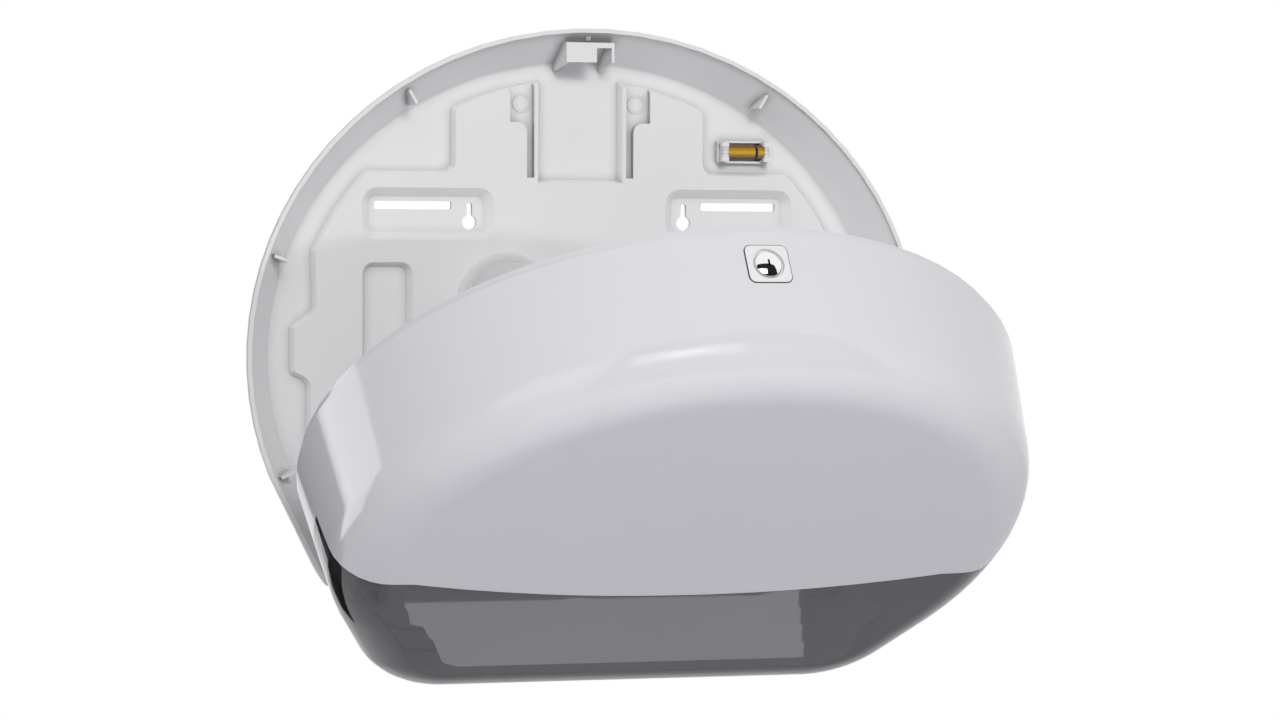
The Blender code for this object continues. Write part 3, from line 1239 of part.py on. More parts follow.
def bubble_level():
    """The level's vial with its liquid, end cap and ring mark, lying along X in the cradle."""
    half = LEVEL_LENGTH / 2
    lie = (0.0, math.pi / 2, 0.0)
    place = (LEVEL_X, LEVEL_Y, LEVEL_Z)
    tube = [
        (LEVEL_BORE_RADIUS, half),
        (LEVEL_RADIUS, half),
        (LEVEL_RADIUS, -half),
        (0.0, -half),
        (0.0, -half + LEVEL_END_WALL),
        (LEVEL_BORE_RADIUS, -half + LEVEL_END_WALL),
    ]
    vial = turned("level_vial", tube, "plate", clear, place, lie, closed=True)
    groove = [
        (LEVEL_RADIUS + SINK, LEVEL_RING_X + LEVEL_RING_WIDTH + SEAT_GAP / 2),
        (LEVEL_RADIUS + SINK, LEVEL_RING_X - SEAT_GAP / 2),
        (LEVEL_RADIUS - LEVEL_RING_WALL - SEAT_GAP / 2, LEVEL_RING_X - SEAT_GAP / 2),
        (LEVEL_RADIUS - LEVEL_RING_WALL - SEAT_GAP / 2, LEVEL_RING_X + LEVEL_RING_WIDTH + SEAT_GAP / 2),
    ]
    cut(vial, turned("level_groove", groove, "plate", None, place, lie, closed=True))
    ring = [
        (LEVEL_RADIUS, LEVEL_RING_X + LEVEL_RING_WIDTH),
        (LEVEL_RADIUS, LEVEL_RING_X),
        (LEVEL_RADIUS - LEVEL_RING_WALL, LEVEL_RING_X),
        (LEVEL_RADIUS - LEVEL_RING_WALL, LEVEL_RING_X + LEVEL_RING_WIDTH),
    ]
    turned("level_ring", ring, "plate", black, place, lie, closed=True)
    radius = LEVEL_BORE_RADIUS - SEAT_GAP
    low, high = -half + LEVEL_END_WALL + SEAT_GAP, half - LEVEL_CAP_LENGTH - SEAT_GAP
    column = [(0.0, high), (radius, high), (radius, low), (0.0, low)]
    liquid = turned("level_liquid", column, "plate", amber, place, lie)
    flat_z = LEVEL_Z + radius - LEVEL_BUBBLE_DEPTH
    bubble = rectangle(LEVEL_X - LEVEL_BUBBLE_LENGTH / 2, flat_z, LEVEL_X + LEVEL_BUBBLE_LENGTH / 2,
                       LEVEL_Z + LEVEL_RADIUS, LEVEL_BUBBLE_DEPTH * BUBBLE_CORNER_SHARE)
    cut(liquid, prism("level_bubble", bubble, "Y", LEVEL_Y + LEVEL_RADIUS, LEVEL_Y - LEVEL_RADIUS, "plate"))
    cap = [(0.0, half), (radius, half), (radius, half - LEVEL_CAP_LENGTH), (0.0, half - LEVEL_CAP_LENGTH)]
    turned("level_end_cap", cap, "plate", bezel_white, place, lie)


def hinge_pins():
    for name, side in sides("hinge_pin"):
        length = EAR_WALL + SEAT_GAP + ARM_WALL
        profile = [
            (0.0, PIN_HEAD_LENGTH),
            (PIN_HEAD_RADIUS * PIN_CROWN_SHARE, PIN_HEAD_LENGTH),
            (PIN_HEAD_RADIUS, PIN_HEAD_LENGTH * HEAD_ROUND_SHARE),
            (PIN_HEAD_RADIUS, 0.0),
            (PIN_RADIUS, 0.0),
            (PIN_RADIUS, -length),
            (PIN_RADIUS * PIN_CROWN_SHARE, -length - SINK),
            (0.0, -length - SINK),
        ]
        spot = (side * (EAR_INNER_X - SEAT_GAP), HINGE_Y, HINGE_Z)
        turned(name, profile, "plate", nylon, spot, (0.0, -side * math.pi / 2, 0.0))


def lock():
    """Housing, backing disc, nut, barrel, cam and cam screw, about the lock's own axis."""
    sag = TOP_CURVE - math.sqrt(TOP_CURVE**2 - DISC_RADIUS**2)
    wall_back = -COVER_WALL - sag - SEAT_GAP
    half_x, half_y = BEZEL_WIDTH / 2, BEZEL_HEIGHT / 2
    flange = rectangle(-half_x, -half_y, half_x, half_y, BEZEL_CORNER)
    bezel = prism("lock_housing", flange, "Z", SEAT_GAP - BEZEL_RECESS, BEZEL_PROUD, "lock", bezel_white)
    outer = HOUSING_RADIUS
    tube = [(0.0, -SINK), (outer, -SINK), (outer, -HOUSING_LENGTH), (0.0, -HOUSING_LENGTH)]
    join(bezel, turned("housing_tube", tube, "lock", None, steps=LOCK_STEPS))
    bore = [
        (0.0, OVERRUN),
        (LOCK_MOUTH_RADIUS, OVERRUN),
        (LOCK_MOUTH_RADIUS, BEZEL_PROUD - LOCK_MOUTH_DEPTH),
        (LOCK_BORE_RADIUS, BEZEL_PROUD - LOCK_MOUTH_DEPTH),
        (LOCK_BORE_RADIUS, -HOUSING_LENGTH - OVERRUN),
        (0.0, -HOUSING_LENGTH - OVERRUN),
    ]
    cut(bezel, turned("housing_bore", bore, "lock", None, steps=LOCK_STEPS))
    smooth(bezel)
    inner = HOUSING_RADIUS + SEAT_GAP
    disc = [(inner, wall_back), (DISC_RADIUS, wall_back), (DISC_RADIUS, wall_back - DISC_WALL),
            (inner, wall_back - DISC_WALL)]
    turned("lock_backing_disc", disc, "lock", zinc, steps=LOCK_STEPS, closed=True)
    nut_top = wall_back - DISC_WALL - SEAT_GAP
    corners = circle(0.0, 0.0, NUT_FLATS_RADIUS / math.cos(math.pi / 6), 6)
    nut = prism("lock_nut", corners, "Z", nut_top - NUT_WALL, nut_top, "lock", zinc)
    bore = circle(0.0, 0.0, inner, LOCK_STEPS)
    cut(nut, prism("nut_bore", bore, "Z", nut_top - NUT_WALL - OVERRUN, nut_top + OVERRUN, "lock"))
    head_low = BEZEL_PROUD - LOCK_MOUTH_DEPTH + RUNNING_GAP
    dome = []
    for k in range(ARC_STEPS + 1):
        t = math.pi / 2 * k / ARC_STEPS
        dome.append((BARREL_HEAD_RADIUS * math.sin(t), head_low + SINK + BARREL_DOME * math.cos(t)))
    barrel_profile = dome + [
        (BARREL_HEAD_RADIUS, head_low),
        (BARREL_RADIUS, head_low),
        (BARREL_RADIUS, -BARREL_LENGTH),
        (0.0, -BARREL_LENGTH),
    ]
    barrel = turned("lock_barrel", barrel_profile, "lock", chrome, steps=LOCK_STEPS)
    stud = rectangle(-STUD_HALF, -STUD_HALF, STUD_HALF, STUD_HALF)
    join(barrel, prism("stud", stud, "Z", -BARREL_LENGTH + SINK, -BARREL_LENGTH - STUD_LENGTH, "lock"))
    keyway = rectangle(-KEYWAY_HALF_WIDTH, -KEYWAY_HALF_LENGTH, KEYWAY_HALF_WIDTH, KEYWAY_HALF_LENGTH)
    cut(barrel, prism("keyway", keyway, "Z", head_low - KEYWAY_DEPTH, OVERRUN, "lock"))
    pilot = circle(0.0, 0.0, CAM_SCREW_RADIUS + SEAT_GAP, SCREW_STEPS)
    cut(barrel, prism("cam_pilot", pilot, "Z", -BARREL_LENGTH - STUD_LENGTH - OVERRUN,
                      -BARREL_LENGTH - STUD_LENGTH + CAM_SCREW_LENGTH, "lock"))
    cam_top = -BARREL_LENGTH - SEAT_GAP
    sine, cosine = math.sin(CAM_REST_ANGLE), math.cos(CAM_REST_ANGLE)

    def swung(points):
        return [(a * cosine + b * sine, b * cosine - a * sine) for a, b in points]

    lean = math.asin(CAM_ARM_HALF / CAM_HUB_RADIUS)
    start = math.pi / 2 + lean
    hub = on_circle(0.0, 0.0, CAM_HUB_RADIUS, span(start, start + 2 * (math.pi - lean), SMALL_STEPS))
    arm_end = CAM_REACH - CAM_TIP_WALL / 2
    arm = [(CAM_ARM_HALF, arm_end), (-CAM_ARM_HALF, arm_end)]
    cam = prism("lock_cam", swung(hub + arm), "Z", cam_top - CAM_WALL, cam_top, "lock", zinc)
    tip = rectangle(-CAM_TIP_HALF, CAM_REACH - CAM_TIP_WALL, CAM_TIP_HALF, CAM_REACH)
    tip_low = cam_top - CAM_WALL + SEAT_GAP
    join(cam, prism("cam_tip", swung(tip), "Z", tip_low, cam_top + CAM_TIP_RISE, "lock"))
    square = STUD_HALF + SEAT_GAP
    hole = rectangle(-square, -square, square, square)
    cut(cam, prism("cam_square", hole, "Z", cam_top - CAM_WALL - OVERRUN, cam_top + OVERRUN, "lock"))
    head = (CAM_SCREW_HEAD_RADIUS, CAM_SCREW_HEAD_LENGTH)
    screw = screw_profile(CAM_SCREW_RADIUS, CAM_SCREW_LENGTH, *head, SINK)
    under = min(-BARREL_LENGTH - STUD_LENGTH, cam_top - CAM_WALL) - SEAT_GAP
    turned("cam_screw", screw, "lock", zinc, (0.0, 0.0, under), (math.pi, 0.0, 0.0))


back_plate()
for spindle_name, (spindle_x, spindle_z) in SPINDLE_PLACES.items():
    spindle(spindle_name, spindle_x, spindle_z)
bubble_level()
hinge_pins()
cover_shell()
cover_window()
exit_frame()
frame_screws()
lock()
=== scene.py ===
import json
import math

import bmesh
import bpy
from mathutils import Matrix, Vector


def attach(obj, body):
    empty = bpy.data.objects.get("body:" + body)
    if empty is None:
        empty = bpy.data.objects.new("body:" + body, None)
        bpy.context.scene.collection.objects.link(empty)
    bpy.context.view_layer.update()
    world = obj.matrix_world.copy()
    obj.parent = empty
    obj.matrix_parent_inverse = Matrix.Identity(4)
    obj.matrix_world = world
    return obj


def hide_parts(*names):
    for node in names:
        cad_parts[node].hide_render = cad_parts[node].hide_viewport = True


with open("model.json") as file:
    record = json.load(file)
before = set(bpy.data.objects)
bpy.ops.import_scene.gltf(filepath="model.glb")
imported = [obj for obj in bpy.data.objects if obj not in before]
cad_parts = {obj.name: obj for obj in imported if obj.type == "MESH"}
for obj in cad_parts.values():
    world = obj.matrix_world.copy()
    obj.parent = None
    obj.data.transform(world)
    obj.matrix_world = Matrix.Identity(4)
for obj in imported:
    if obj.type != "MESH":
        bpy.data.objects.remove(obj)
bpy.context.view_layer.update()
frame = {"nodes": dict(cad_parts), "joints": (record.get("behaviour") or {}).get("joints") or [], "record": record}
nodes = frame["nodes"]
record = frame["record"]
print("frame loaded:", len(nodes), "pieces")

bpy.context.scene.view_settings.view_transform = "Standard"


# camera, as the photograph was taken
camera = {
    "place": (-1.044376, -2.911324, -0.070382),
    "heading": 0.357347,
    "dip": 0.023433,
    "roll": 0.004263,
    "lens": 141.09,
    "sensor": 36.0,
    "far": 60.0,
}


def placeCamera():
    heading, dip, roll = camera["heading"], camera["dip"], camera["roll"]
    ahead = Vector((math.sin(heading) * math.cos(dip), math.cos(heading) * math.cos(dip), -math.sin(dip)))
    flat = Vector((math.cos(heading), -math.sin(heading), 0.0))
    rise = flat.cross(ahead)
    across = math.cos(roll) * flat + math.sin(roll) * rise
    upward = math.cos(roll) * rise - math.sin(roll) * flat
    eye = bpy.data.objects.new("studioCamera", bpy.data.cameras.new("studioCamera"))
    eye.data.lens = camera["lens"]
    eye.data.sensor_width = camera["sensor"]
    eye.data.clip_end = camera["far"]
    stand = Matrix((across, upward, -ahead)).transposed().to_4x4()
    stand.translation = Vector(camera["place"])
    eye.matrix_world = stand
    bpy.context.scene.collection.objects.link(eye)
    bpy.context.scene.camera = eye


placeCamera()
print("camera placed")


# studio: a softbox over the camera, a panel behind on the left and one at the side for the gloss of the
# end wall, a weak fill, and a small lamp whose light leaves the cover's shadow on the plate; one black
# card stands behind on the left and one in front, where only a gloss sees it; the floor is far below
# because the body hangs on a wall
studio = {
    "worldShown": 1.0,
    "worldGlow": 0.27,
    "floorDrop": 1.05,
    "floorSize": 11.0,
    "floorLift": 0.5,
    "floorColour": (0.75, 0.75, 0.81),
    "floorRough": 0.8,
    "feltColour": (0.012, 0.012, 0.012),
    "feltRough": 0.95,
    "aim": (0.0, -0.15, -0.12),
    "lamps": {
        "softboxFront": {"place": (-0.25, -2.6, 1.05), "size": (1.5, 0.85), "power": 37.0, "nest": 5},
        "panelLeft": {"place": (-1.25, 0.75, -0.28), "size": (0.62, 0.9), "power": 4.0, "nest": 1},
        "panelSide": {"place": (-1.7, 0.12, -0.25), "size": (1.0, 0.9), "power": 1.2, "nest": 3},
        "fillLeft": {"place": (-2.2, -1.9, 0.9), "size": (1.4, 1.4), "power": 5.0, "nest": 1},
        "lampRight": {"place": (0.75, -2.9, -0.04), "size": (0.09, 0.09), "power": 10.5, "nest": 1,
                      "gloss": False},
    },
    "cards": {
        "cardBehind": {"centre": (-0.75, 1.05, -0.15), "half": (0.45, 0.9), "glossOnly": False},
        "cardFront": {"centre": (1.1, -3.7, 1.7), "half": (3.1, 2.9), "glossOnly": True},
    },
}


def glowOf(tree, strength):
    glow = tree.nodes.new("ShaderNodeBackground")
    glow.inputs["Color"].default_value = (1.0, 1.0, 1.0, 1.0)
    glow.inputs["Strength"].default_value = strength
    return glow.outputs[0]


def combine(tree, operation, first, second):
    step = tree.nodes.new("ShaderNodeMath")
    step.operation = operation
    step.use_clamp = True
    tree.links.new(first, step.inputs[0])
    tree.links.new(second, step.inputs[1])
    return step.outputs[0]


# 1 for a ray that shows the background: the camera's, a gloss's, or one that goes through the smoke
def shownRay(tree, path):
    seen = combine(tree, "MAXIMUM", path.outputs["Is Camera Ray"], path.outputs["Is Glossy Ray"])
    return combine(tree, "MAXIMUM", seen, path.outputs["Is Transmission Ray"])


# white where it is shown and the plain level for the rest, also for light that comes in through the smoke
def buildWorld():
    world = bpy.data.worlds.new("studioWorld")
    bpy.context.scene.world = world
    world.use_nodes = True
    tree = world.node_tree
    tree.nodes.clear()
    out = tree.nodes.new("ShaderNodeOutputWorld")
    path = tree.nodes.new("ShaderNodeLightPath")
    inside = combine(tree, "MULTIPLY", path.outputs["Transmission Depth"], path.outputs["Is Glossy Ray"])
    through = combine(tree, "MAXIMUM", path.outputs["Is Transmission Ray"], inside)
    lighting = combine(tree, "MULTIPLY", path.outputs["Diffuse Depth"], through)
    shown = combine(tree, "SUBTRACT", shownRay(tree, path), lighting)
    mix = tree.nodes.new("ShaderNodeMixShader")
    tree.links.new(shown, mix.inputs[0])
    tree.links.new(glowOf(tree, studio["worldGlow"]), mix.inputs[1])
    tree.links.new(glowOf(tree, studio["worldShown"]), mix.inputs[2])
    tree.links.new(mix.outputs[0], out.inputs["Surface"])


# nested lamps are each smaller than the last, so that their reflection fades at its edge
def hangLamps():
    for name, how in studio["lamps"].items():
        aim = Vector(studio["aim"]) - Vector(how["place"])
        for ring in range(how["nest"]):
            share = 1.0 - ring / (how["nest"] + 1)
            lamp = bpy.data.lights.new(f"{name}{ring + 1}", "AREA")
            lamp.shape = "RECTANGLE"
            lamp.size, lamp.size_y = [side * share for side in how["size"]]
            lamp.energy = how["power"] / how["nest"]
            holder = bpy.data.objects.new(lamp.name, lamp)
            holder.location = how["place"]
            holder.rotation_euler = aim.to_track_quat("-Z", "Y").to_euler()
            holder.visible_glossy = how.get("gloss", True)
            bpy.context.scene.collection.objects.link(holder)


def buildFloor():
    bm = bmesh.new()
    bmesh.ops.create_grid(bm, x_segments=1, y_segments=1, size=studio["floorSize"] / 2)
    bmesh.ops.translate(bm, vec=(0.0, 0.0, -studio["floorDrop"]), verts=bm.verts)
    mesh = bpy.data.meshes.new("studioFloor")
    bm.to_mesh(mesh)
    bm.free()
    floor = bpy.data.objects.new("studioFloor", mesh)
    bpy.context.scene.collection.objects.link(floor)
    paper = bpy.data.materials.new("paleFloor")
    paper.use_nodes = True
    shader = paper.node_tree.nodes["Principled BSDF"]
    shader.inputs["Base Color"].default_value = (*studio["floorColour"], 1.0)
    shader.inputs["Roughness"].default_value = studio["floorRough"]
    shader.inputs["Emission Color"].default_value = (1.0, 1.0, 1.0, 1.0)
    tree = paper.node_tree
    lift = tree.nodes.new("ShaderNodeMath")
    lift.operation = "MULTIPLY"
    lift.inputs[1].default_value = studio["floorLift"]
    tree.links.new(shownRay(tree, tree.nodes.new("ShaderNodeLightPath")), lift.inputs[0])
    tree.links.new(lift.outputs[0], shader.inputs["Emission Strength"])
    mesh.materials.append(paper)


def standCards():
    felt = bpy.data.materials.new("blackFelt")
    felt.use_nodes = True
    shader = felt.node_tree.nodes["Principled BSDF"]
    shader.inputs["Base Color"].default_value = (*studio["feltColour"], 1.0)
    shader.inputs["Roughness"].default_value = studio["feltRough"]
    for name, how in studio["cards"].items():
        bm = bmesh.new()
        bmesh.ops.create_grid(bm, x_segments=1, y_segments=1, size=1.0)
        bmesh.ops.scale(bm, vec=(*how["half"], 1.0), verts=bm.verts)
        bmesh.ops.rotate(bm, cent=(0.0, 0.0, 0.0), matrix=Matrix.Rotation(math.pi / 2, 3, "X"),
                         verts=bm.verts)
        bmesh.ops.translate(bm, vec=how["centre"], verts=bm.verts)
        mesh = bpy.data.meshes.new(name)
        bm.to_mesh(mesh)
        bm.free()
        mesh.materials.append(felt)
        card = bpy.data.objects.new(name, mesh)
        bpy.context.scene.collection.objects.link(card)
        card.visible_camera = False
        if how["glossOnly"]:
            card.visible_diffuse = card.visible_shadow = card.visible_transmission = False


buildWorld()
hangLamps()
buildFloor()
standCards()
print("studio lit")


# shader helpers: every pattern is on Object coordinates, so in metres
shading = {"cloudDetail": 3.0, "grainDetail": 2.0, "noiseRough": 0.55, "cornerSamples": 8}


def newMaterial(name):
    made = bpy.data.materials.new(name)
    made.use_nodes = True
    return made, made.node_tree, made.node_tree.nodes["Principled BSDF"]


def objectNoise(tree, scale, detail):
    place = tree.nodes.new("ShaderNodeTexCoord")
    noise = tree.nodes.new("ShaderNodeTexNoise")
    noise.inputs["Scale"].default_value = scale
    noise.inputs["Detail"].default_value = detail
    noise.inputs["Roughness"].default_value = shading["noiseRough"]
    tree.links.new(place.outputs["Object"], noise.inputs["Vector"])
    return noise


def addBump(tree, shader, source, strength, depth):
    relief = tree.nodes.new("ShaderNodeBump")
    relief.inputs["Strength"].default_value = strength
    relief.inputs["Distance"].default_value = depth
    tree.links.new(source, relief.inputs["Height"])
    tree.links.new(relief.outputs["Normal"], shader.inputs["Normal"])


# colour and gloss wander a little, as in moulded plastic
def mottle(tree, shader, finish):
    cloud = objectNoise(tree, finish["cloudScale"], shading["cloudDetail"])
    tint = tree.nodes.new("ShaderNodeMix")
    tint.data_type = "RGBA"
    tint.inputs["A"].default_value = (*finish["colour"], 1.0)
    tint.inputs["B"].default_value = (*[c * finish["shade"] for c in finish["colour"]], 1.0)
    tree.links.new(cloud.outputs["Fac"], tint.inputs["Factor"])
    tree.links.new(tint.outputs["Result"], shader.inputs["Base Color"])
    sheen = tree.nodes.new("ShaderNodeMapRange")
    sheen.inputs["To Min"].default_value = finish["rough"][0]
    sheen.inputs["To Max"].default_value = finish["rough"][1]
    tree.links.new(cloud.outputs["Fac"], sheen.inputs["Value"])
    tree.links.new(sheen.outputs["Result"], shader.inputs["Roughness"])


# painted shade: the base colour darkens in the inner corners and creases, where a moulding's fillets gather shade,
# by the Ambient Occlusion node
def paintCornerShade(tree, shader, finish):
    plain = shader.inputs["Base Color"].links[0].from_socket
    corner = tree.nodes.new("ShaderNodeAmbientOcclusion")
    corner.samples = shading["cornerSamples"]
    corner.only_local = True
    corner.inputs["Distance"].default_value = finish["cornerReach"]
    fade = tree.nodes.new("ShaderNodeMapRange")
    fade.inputs["From Min"].default_value = finish["cornerRange"][0]
    fade.inputs["From Max"].default_value = finish["cornerRange"][1]
    fade.inputs["To Min"].default_value = finish["corner"]
    fade.inputs["To Max"].default_value = 1.0
    tree.links.new(corner.outputs["AO"], fade.inputs["Value"])
    paintedShade = tree.nodes.new("ShaderNodeVectorMath")
    paintedShade.operation = "SCALE"
    tree.links.new(plain, paintedShade.inputs[0])
    tree.links.new(fade.outputs["Result"], paintedShade.inputs["Scale"])
    tree.links.new(paintedShade.outputs["Vector"], shader.inputs["Base Color"])


def plastic(name, finish):
    made, tree, shader = newMaterial(name)
    mottle(tree, shader, finish)
    # painted shade in the corners, for the finishes that ask for it
    if "corner" in finish:
        paintCornerShade(tree, shader, finish)
    grain = objectNoise(tree, finish["grainScale"], shading["grainDetail"])
    addBump(tree, shader, grain.outputs["Fac"], finish["grain"], finish["grainDepth"])
    return made


# a piece that stands for its CAD solid: the same shape, welded, with its round walls shaded smooth
weld = {"reach": 0.000002, "flat": 0.3, "newReach": 0.000001, "crease": 32.0, "normalWeight": 100}


def bodyOf(name):
    return next(body for body, names in record["behaviour"]["bodies"].items() if name in names)


def smoothFaces(bm, crease):
    for face in bm.faces:
        face.smooth = True
    for edge in bm.edges:
        edge.smooth = len(edge.link_faces) == 2 and edge.calc_face_angle(0.0) < math.radians(crease)


def weldedMesh(name, piece, crease):
    bm = bmesh.new()
    bm.from_mesh(nodes[name].data)
    bmesh.ops.remove_doubles(bm, verts=bm.verts, dist=weld["reach"])
    bmesh.ops.dissolve_limit(bm, angle_limit=math.radians(weld["flat"]), verts=bm.verts, edges=bm.edges)
    smoothFaces(bm, crease)
    mesh = bpy.data.meshes.new(piece)
    bm.to_mesh(mesh)
    bm.free()
    return mesh


def dressed(name, piece, finish, crease=weld["crease"]):
    mesh = weldedMesh(name, piece, crease)
    mesh.materials.append(finish)
    made = bpy.data.objects.new(piece, mesh)
    bpy.context.scene.collection.objects.link(made)
    weight = made.modifiers.new("evenNormals", "WEIGHTED_NORMAL")
    weight.keep_sharp = True
    weight.weight = weld["normalWeight"]
    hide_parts(name)
    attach(made, bodyOf(name))


# back plate: satin moulded, with a fine eroded grain and painted shade in its corners
backPlate = {"colour": (0.91, 0.91, 0.915), "shade": 0.97, "cloudScale": 14.0, "rough": (0.30, 0.42),
             "grainScale": 900.0, "grain": 0.25, "grainDepth": 0.0001,
             "corner": 0.5, "cornerReach": 0.007, "cornerRange": (0.4, 0.95)}
plateWhite = plastic("plateWhite", backPlate)
dressed("back_plate", "backPlate", plateWhite, 24.0)
print("back plate dressed")

# cover: gloss white, with the faint orange peel of a polished tool
cover = {"colour": (0.765, 0.762, 0.79), "shade": 0.985, "cloudScale": 9.0, "rough": (0.07, 0.11),
         "grainScale": 60.0, "grain": 0.06, "grainDepth": 0.0002}
dressed("cover_shell", "coverShell", plastic("coverWhite", cover), 30.0)
print("cover dressed")

# window: smoked and clear, darker where the moulding is looked through at a slant
window = {"colour": (0.17, 0.166, 0.18), "shade": 0.93, "cloudScale": 12.0, "rough": (0.02, 0.05),
          "slant": (0.07, 0.069, 0.077), "slantBlend": 0.42, "ior": 1.45,
          "grainScale": 45.0, "grain": 0.05, "grainDepth": 0.0002}


def smoke():
    made = plastic("smokedWindow", window)
    tree = made.node_tree
    shader = tree.nodes["Principled BSDF"]
    plain = shader.inputs["Base Color"].links[0].from_socket
    facing = tree.nodes.new("ShaderNodeLayerWeight")
    facing.inputs["Blend"].default_value = window["slantBlend"]
    depth = tree.nodes.new("ShaderNodeMix")
    depth.data_type = "RGBA"
    depth.inputs["B"].default_value = (*window["slant"], 1.0)
    tree.links.new(facing.outputs["Facing"], depth.inputs["Factor"])
    tree.links.new(plain, depth.inputs["A"])
    tree.links.new(depth.outputs["Result"], shader.inputs["Base Color"])
    shader.inputs["Transmission Weight"].default_value = 1.0
    shader.inputs["IOR"].default_value = window["ior"]
    return made


dressed("cover_window", "coverWindow", smoke(), 30.0)
print("window dressed")

# exit frame: satin white, a little duller than the cover, with painted shade in its corners
exitFrame = {"colour": (0.76, 0.76, 0.78), "shade": 0.96, "cloudScale": 22.0, "rough": (0.34, 0.48),
             "grainScale": 700.0, "grain": 0.25, "grainDepth": 0.0001,
             "corner": 0.6, "cornerReach": 0.006, "cornerRange": (0.45, 0.95)}
dressed("exit_frame", "exitFrame", plastic("frameWhite", exitFrame), 30.0)

# spindles: satin white like the plate, with their own tool's grain and painted shade in their corners
spindle = {"colour": (0.78, 0.78, 0.79), "shade": 0.96, "cloudScale": 30.0, "rough": (0.30, 0.40),
           "grainScale": 800.0, "grain": 0.2, "grainDepth": 0.0001,
           "corner": 0.7, "cornerReach": 0.005, "cornerRange": (0.45, 0.95)}
spindleWhite = plastic("spindleWhite", spindle)
dressed("main_spindle", "mainSpindle", spindleWhite)
dressed("stub_spindle", "stubSpindle", spindleWhite)
print("frame and spindles dressed")

# fasteners: bright zinc with a faint yellow cast and turning marks
zinc = {"colour": (0.70, 0.69, 0.66), "shade": 0.82, "cloudScale": 260.0, "rough": (0.22, 0.42),
        "grainScale": 2400.0, "grain": 0.3, "grainDepth": 0.00005}


def zincPlate():
    made = plastic("zincPlate", zinc)
    made.node_tree.nodes["Principled BSDF"].inputs["Metallic"].default_value = 1.0
    return made


zincSteel = zincPlate()
for name in ("main_spindle_screw", "stub_spindle_screw", "frame_screw_1", "frame_screw_2",
             "frame_screw_3", "frame_screw_4", "cam_screw", "lock_backing_disc", "lock_nut", "lock_cam"):
    words = name.split("_")
    dressed(name, words[0] + "".join(w.capitalize() for w in words[1:]), zincSteel)

# hinge pins: natural nylon, warm in tone
hingePin = {"colour": (0.74, 0.73, 0.69), "shade": 0.94, "cloudScale": 180.0, "rough": (0.38, 0.5),
            "grainScale": 1500.0, "grain": 0.2, "grainDepth": 0.00005}
pinNylon = plastic("pinNylon", hingePin)
dressed("hinge_pin_left", "hingePinLeft", pinNylon)
dressed("hinge_pin_right", "hingePinRight", pinNylon)
print("fasteners and pins dressed")

# bubble level: amber liquid in a clear vial, a painted ring and a plug
level = {
    "vial": {"colour": (0.72, 0.40, 0.03), "shade": 0.80, "cloudScale": 260.0, "rough": (0.03, 0.07),
             "grainScale": 400.0, "grain": 0.04, "grainDepth": 0.0001, "clear": 0.25},
    "liquid": {"colour": (0.85, 0.38, 0.01), "shade": 0.80, "cloudScale": 220.0, "rough": (0.0, 0.02),
               "grainScale": 300.0, "grain": 0.02, "grainDepth": 0.0001, "clear": 0.7},
    "ring": {"colour": (0.012, 0.012, 0.012), "shade": 0.7, "cloudScale": 600.0, "rough": (0.35, 0.5),
             "grainScale": 3000.0, "grain": 0.2, "grainDepth": 0.00003},
    "plug": {"colour": (0.80, 0.80, 0.79), "shade": 0.95, "cloudScale": 300.0, "rough": (0.3, 0.4),
             "grainScale": 1500.0, "grain": 0.2, "grainDepth": 0.00005},
    # painted shade at the vial's top and bottom edges and a painted highlight along its middle
    "bands": ((0.0, (0.10, 0.035, 0.008)), (0.20, (0.50, 0.26, 0.02)), (0.48, (0.86, 0.57, 0.09)),
              (0.62, (0.72, 0.42, 0.03)), (0.84, (0.40, 0.15, 0.015)), (1.0, (0.09, 0.03, 0.008))),
    "bandZ": (-0.0182, -0.0098),
    "vialIor": 1.49,
    "liquidIor": 1.36,
    "rests": {"levelRestLeft": (0.0926, 0.0037), "levelRestRight": (0.1205, 0.0025)},
    "restY": (-0.0121, -0.0026),
    "restZ": (-0.0193, -0.0087),
    "ribs": 4,
    "ribDepth": 0.0003,
    "frontFacing": -0.9,
}


def seeThrough(name, finish, ior):
    made = plastic(name, finish)
    shader = made.node_tree.nodes["Principled BSDF"]
    shader.inputs["Transmission Weight"].default_value = finish["clear"]
    shader.inputs["IOR"].default_value = ior
    return made


# the amber runs from painted shade at the vial's edges to a painted highlight, a golden line, along its middle
def amberPaintedLight(made):
    tree = made.node_tree
    place = tree.nodes.new("ShaderNodeTexCoord")
    axes = tree.nodes.new("ShaderNodeSeparateXYZ")
    across = tree.nodes.new("ShaderNodeMapRange")
    across.inputs["From Min"].default_value, across.inputs["From Max"].default_value = level["bandZ"]
    ramp = tree.nodes.new("ShaderNodeValToRGB")
    while len(ramp.color_ramp.elements) < len(level["bands"]):
        ramp.color_ramp.elements.new(0.5)
    for element, (spot, tint) in zip(ramp.color_ramp.elements, level["bands"]):
        element.position = spot
        element.color = (*tint, 1.0)
    tree.links.new(place.outputs["Object"], axes.inputs[0])
    tree.links.new(axes.outputs["Z"], across.inputs["Value"])
    tree.links.new(across.outputs["Result"], ramp.inputs["Fac"])
    tree.links.new(ramp.outputs["Color"], tree.nodes["Principled BSDF"].inputs["Base Color"])
    return made


# a piece that the solids leave out
def finishPiece(name, bm, finish, body):
    bmesh.ops.remove_doubles(bm, verts=bm.verts, dist=weld["newReach"])
    bmesh.ops.recalc_face_normals(bm, faces=bm.faces)
    smoothFaces(bm, weld["crease"])
    mesh = bpy.data.meshes.new(name)
    bm.to_mesh(mesh)
    bm.free()
    mesh.materials.append(finish)
    made = bpy.data.objects.new(name, mesh)
    bpy.context.scene.collection.objects.link(made)
    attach(made, body)


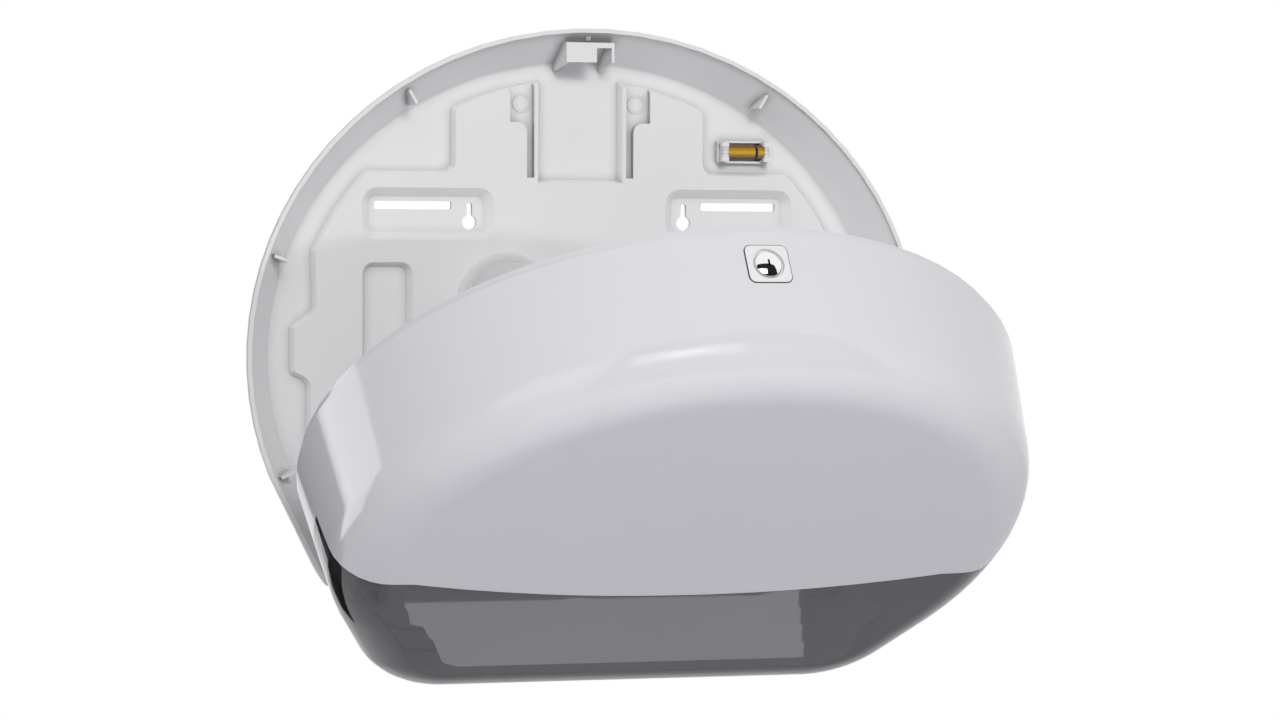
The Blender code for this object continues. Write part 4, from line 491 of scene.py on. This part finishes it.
# white moulded rest over each end of the vial, with grip ribs on its front
def addRest(name, low, width):
    bm = bmesh.new()
    bmesh.ops.create_cube(bm, size=1.0)
    (y0, y1), (z0, z1) = level["restY"], level["restZ"]
    bmesh.ops.scale(bm, vec=(width, y1 - y0, z1 - z0), verts=bm.verts)
    bmesh.ops.translate(bm, vec=(low + width / 2, (y0 + y1) / 2, (z0 + z1) / 2), verts=bm.verts)
    front = min(bm.faces, key=lambda f: f.calc_center_median().y)
    upright = [e for e in front.edges if abs(e.verts[0].co.z - e.verts[1].co.z) > width]
    bmesh.ops.subdivide_edges(bm, edges=upright, cuts=2 * level["ribs"], use_grid_fill=True)
    strips = [f for f in bm.faces if f.normal.y < level["frontFacing"]]
    strips.sort(key=lambda f: f.calc_center_median().z)
    bm.normal_update()
    ribbed = bmesh.ops.extrude_discrete_faces(bm, faces=strips[1::2])["faces"]
    for face in ribbed:
        bmesh.ops.translate(bm, vec=(0.0, level["ribDepth"], 0.0), verts=face.verts)
    finishPiece(name, bm, plateWhite, "plate")


for restName, (restLow, restWidth) in level["rests"].items():
    addRest(restName, restLow, restWidth)
dressed("level_vial", "levelVial", amberPaintedLight(seeThrough("vialClear", level["vial"], level["vialIor"])))
dressed("level_liquid", "levelLiquid", seeThrough("amberLiquid", level["liquid"], level["liquidIor"]))
dressed("level_ring", "levelRing", plastic("ringBlack", level["ring"]))
dressed("level_end_cap", "levelEndCap", plastic("plugWhite", level["plug"]))
print("level dressed")

# lock: gloss white housing, chrome barrel with fine polishing lines
lockHousing = {"colour": (0.86, 0.86, 0.86), "shade": 0.98, "cloudScale": 90.0, "rough": (0.12, 0.18),
               "grainScale": 300.0, "grain": 0.05, "grainDepth": 0.0001}
lockBarrel = {"colour": (0.90, 0.90, 0.91), "shade": 0.96, "cloudScale": 500.0, "rough": (0.03, 0.07),
              "grainScale": 2600.0, "grain": 0.04, "grainDepth": 0.00003}


def chrome():
    made = plastic("barrelChrome", lockBarrel)
    made.node_tree.nodes["Principled BSDF"].inputs["Metallic"].default_value = 1.0
    return made


# black ring round the housing, in the plane of the cover's wall: painted shadow of the gap between housing and
# cover
lockSeal = {"colour": (0.02, 0.02, 0.022), "shade": 0.8, "cloudScale": 400.0, "rough": (0.45, 0.6),
            "grainScale": 2500.0, "grain": 0.2, "grainDepth": 0.00003,
            "width": 0.0253, "height": 0.0233, "round": 0.0037, "roundSteps": 8,
            "lip": 0.00045, "low": -0.0004, "high": 0.00005}


def lockStand():
    joint = next(j for j in frame["joints"] if j["name"] == "lock_turn")
    out = Vector(joint["axis"]).normalized()
    across = Vector((1.0, 0.0, 0.0))
    stand = Matrix((across, out.cross(across), out)).transposed().to_4x4()
    stand.translation = Vector(joint["pos_m"])
    return stand


# a thin black frame that stands for the shadow in the gap round the lock housing
def addGapShadow():
    lip = lockSeal["lip"]
    width, height = lockSeal["width"] + 2 * lip, lockSeal["height"] + 2 * lip
    bm = bmesh.new()
    bmesh.ops.create_grid(bm, x_segments=1, y_segments=1, size=0.5)
    bmesh.ops.scale(bm, vec=(width, height, 1.0), verts=bm.verts)
    bmesh.ops.bevel(bm, geom=bm.verts[:], offset=lockSeal["round"] + lip, affect="VERTICES",
                    segments=lockSeal["roundSteps"], profile=0.5, material=-1)
    bmesh.ops.inset_region(bm, faces=bm.faces[:], thickness=lip, use_even_offset=True, use_boundary=True)
    middle = min(bm.faces, key=lambda f: f.calc_center_median().length)
    bmesh.ops.delete(bm, geom=[middle], context="FACES_ONLY")
    bmesh.ops.translate(bm, vec=(0.0, 0.0, lockSeal["low"]), verts=bm.verts)
    raised = bmesh.ops.extrude_face_region(bm, geom=bm.faces[:])["geom"]
    bmesh.ops.translate(bm, vec=(0.0, 0.0, lockSeal["high"] - lockSeal["low"]),
                        verts=[v for v in raised if isinstance(v, bmesh.types.BMVert)])
    bmesh.ops.transform(bm, matrix=lockStand(), verts=bm.verts)
    finishPiece("lockSeal", bm, plastic("gapShadowBlack", lockSeal), "cover")


addGapShadow()
dressed("lock_housing", "lockHousing", plastic("housingWhite", lockHousing), 25.0)
dressed("lock_barrel", "lockBarrel", chrome(), 25.0)
print("lock dressed")
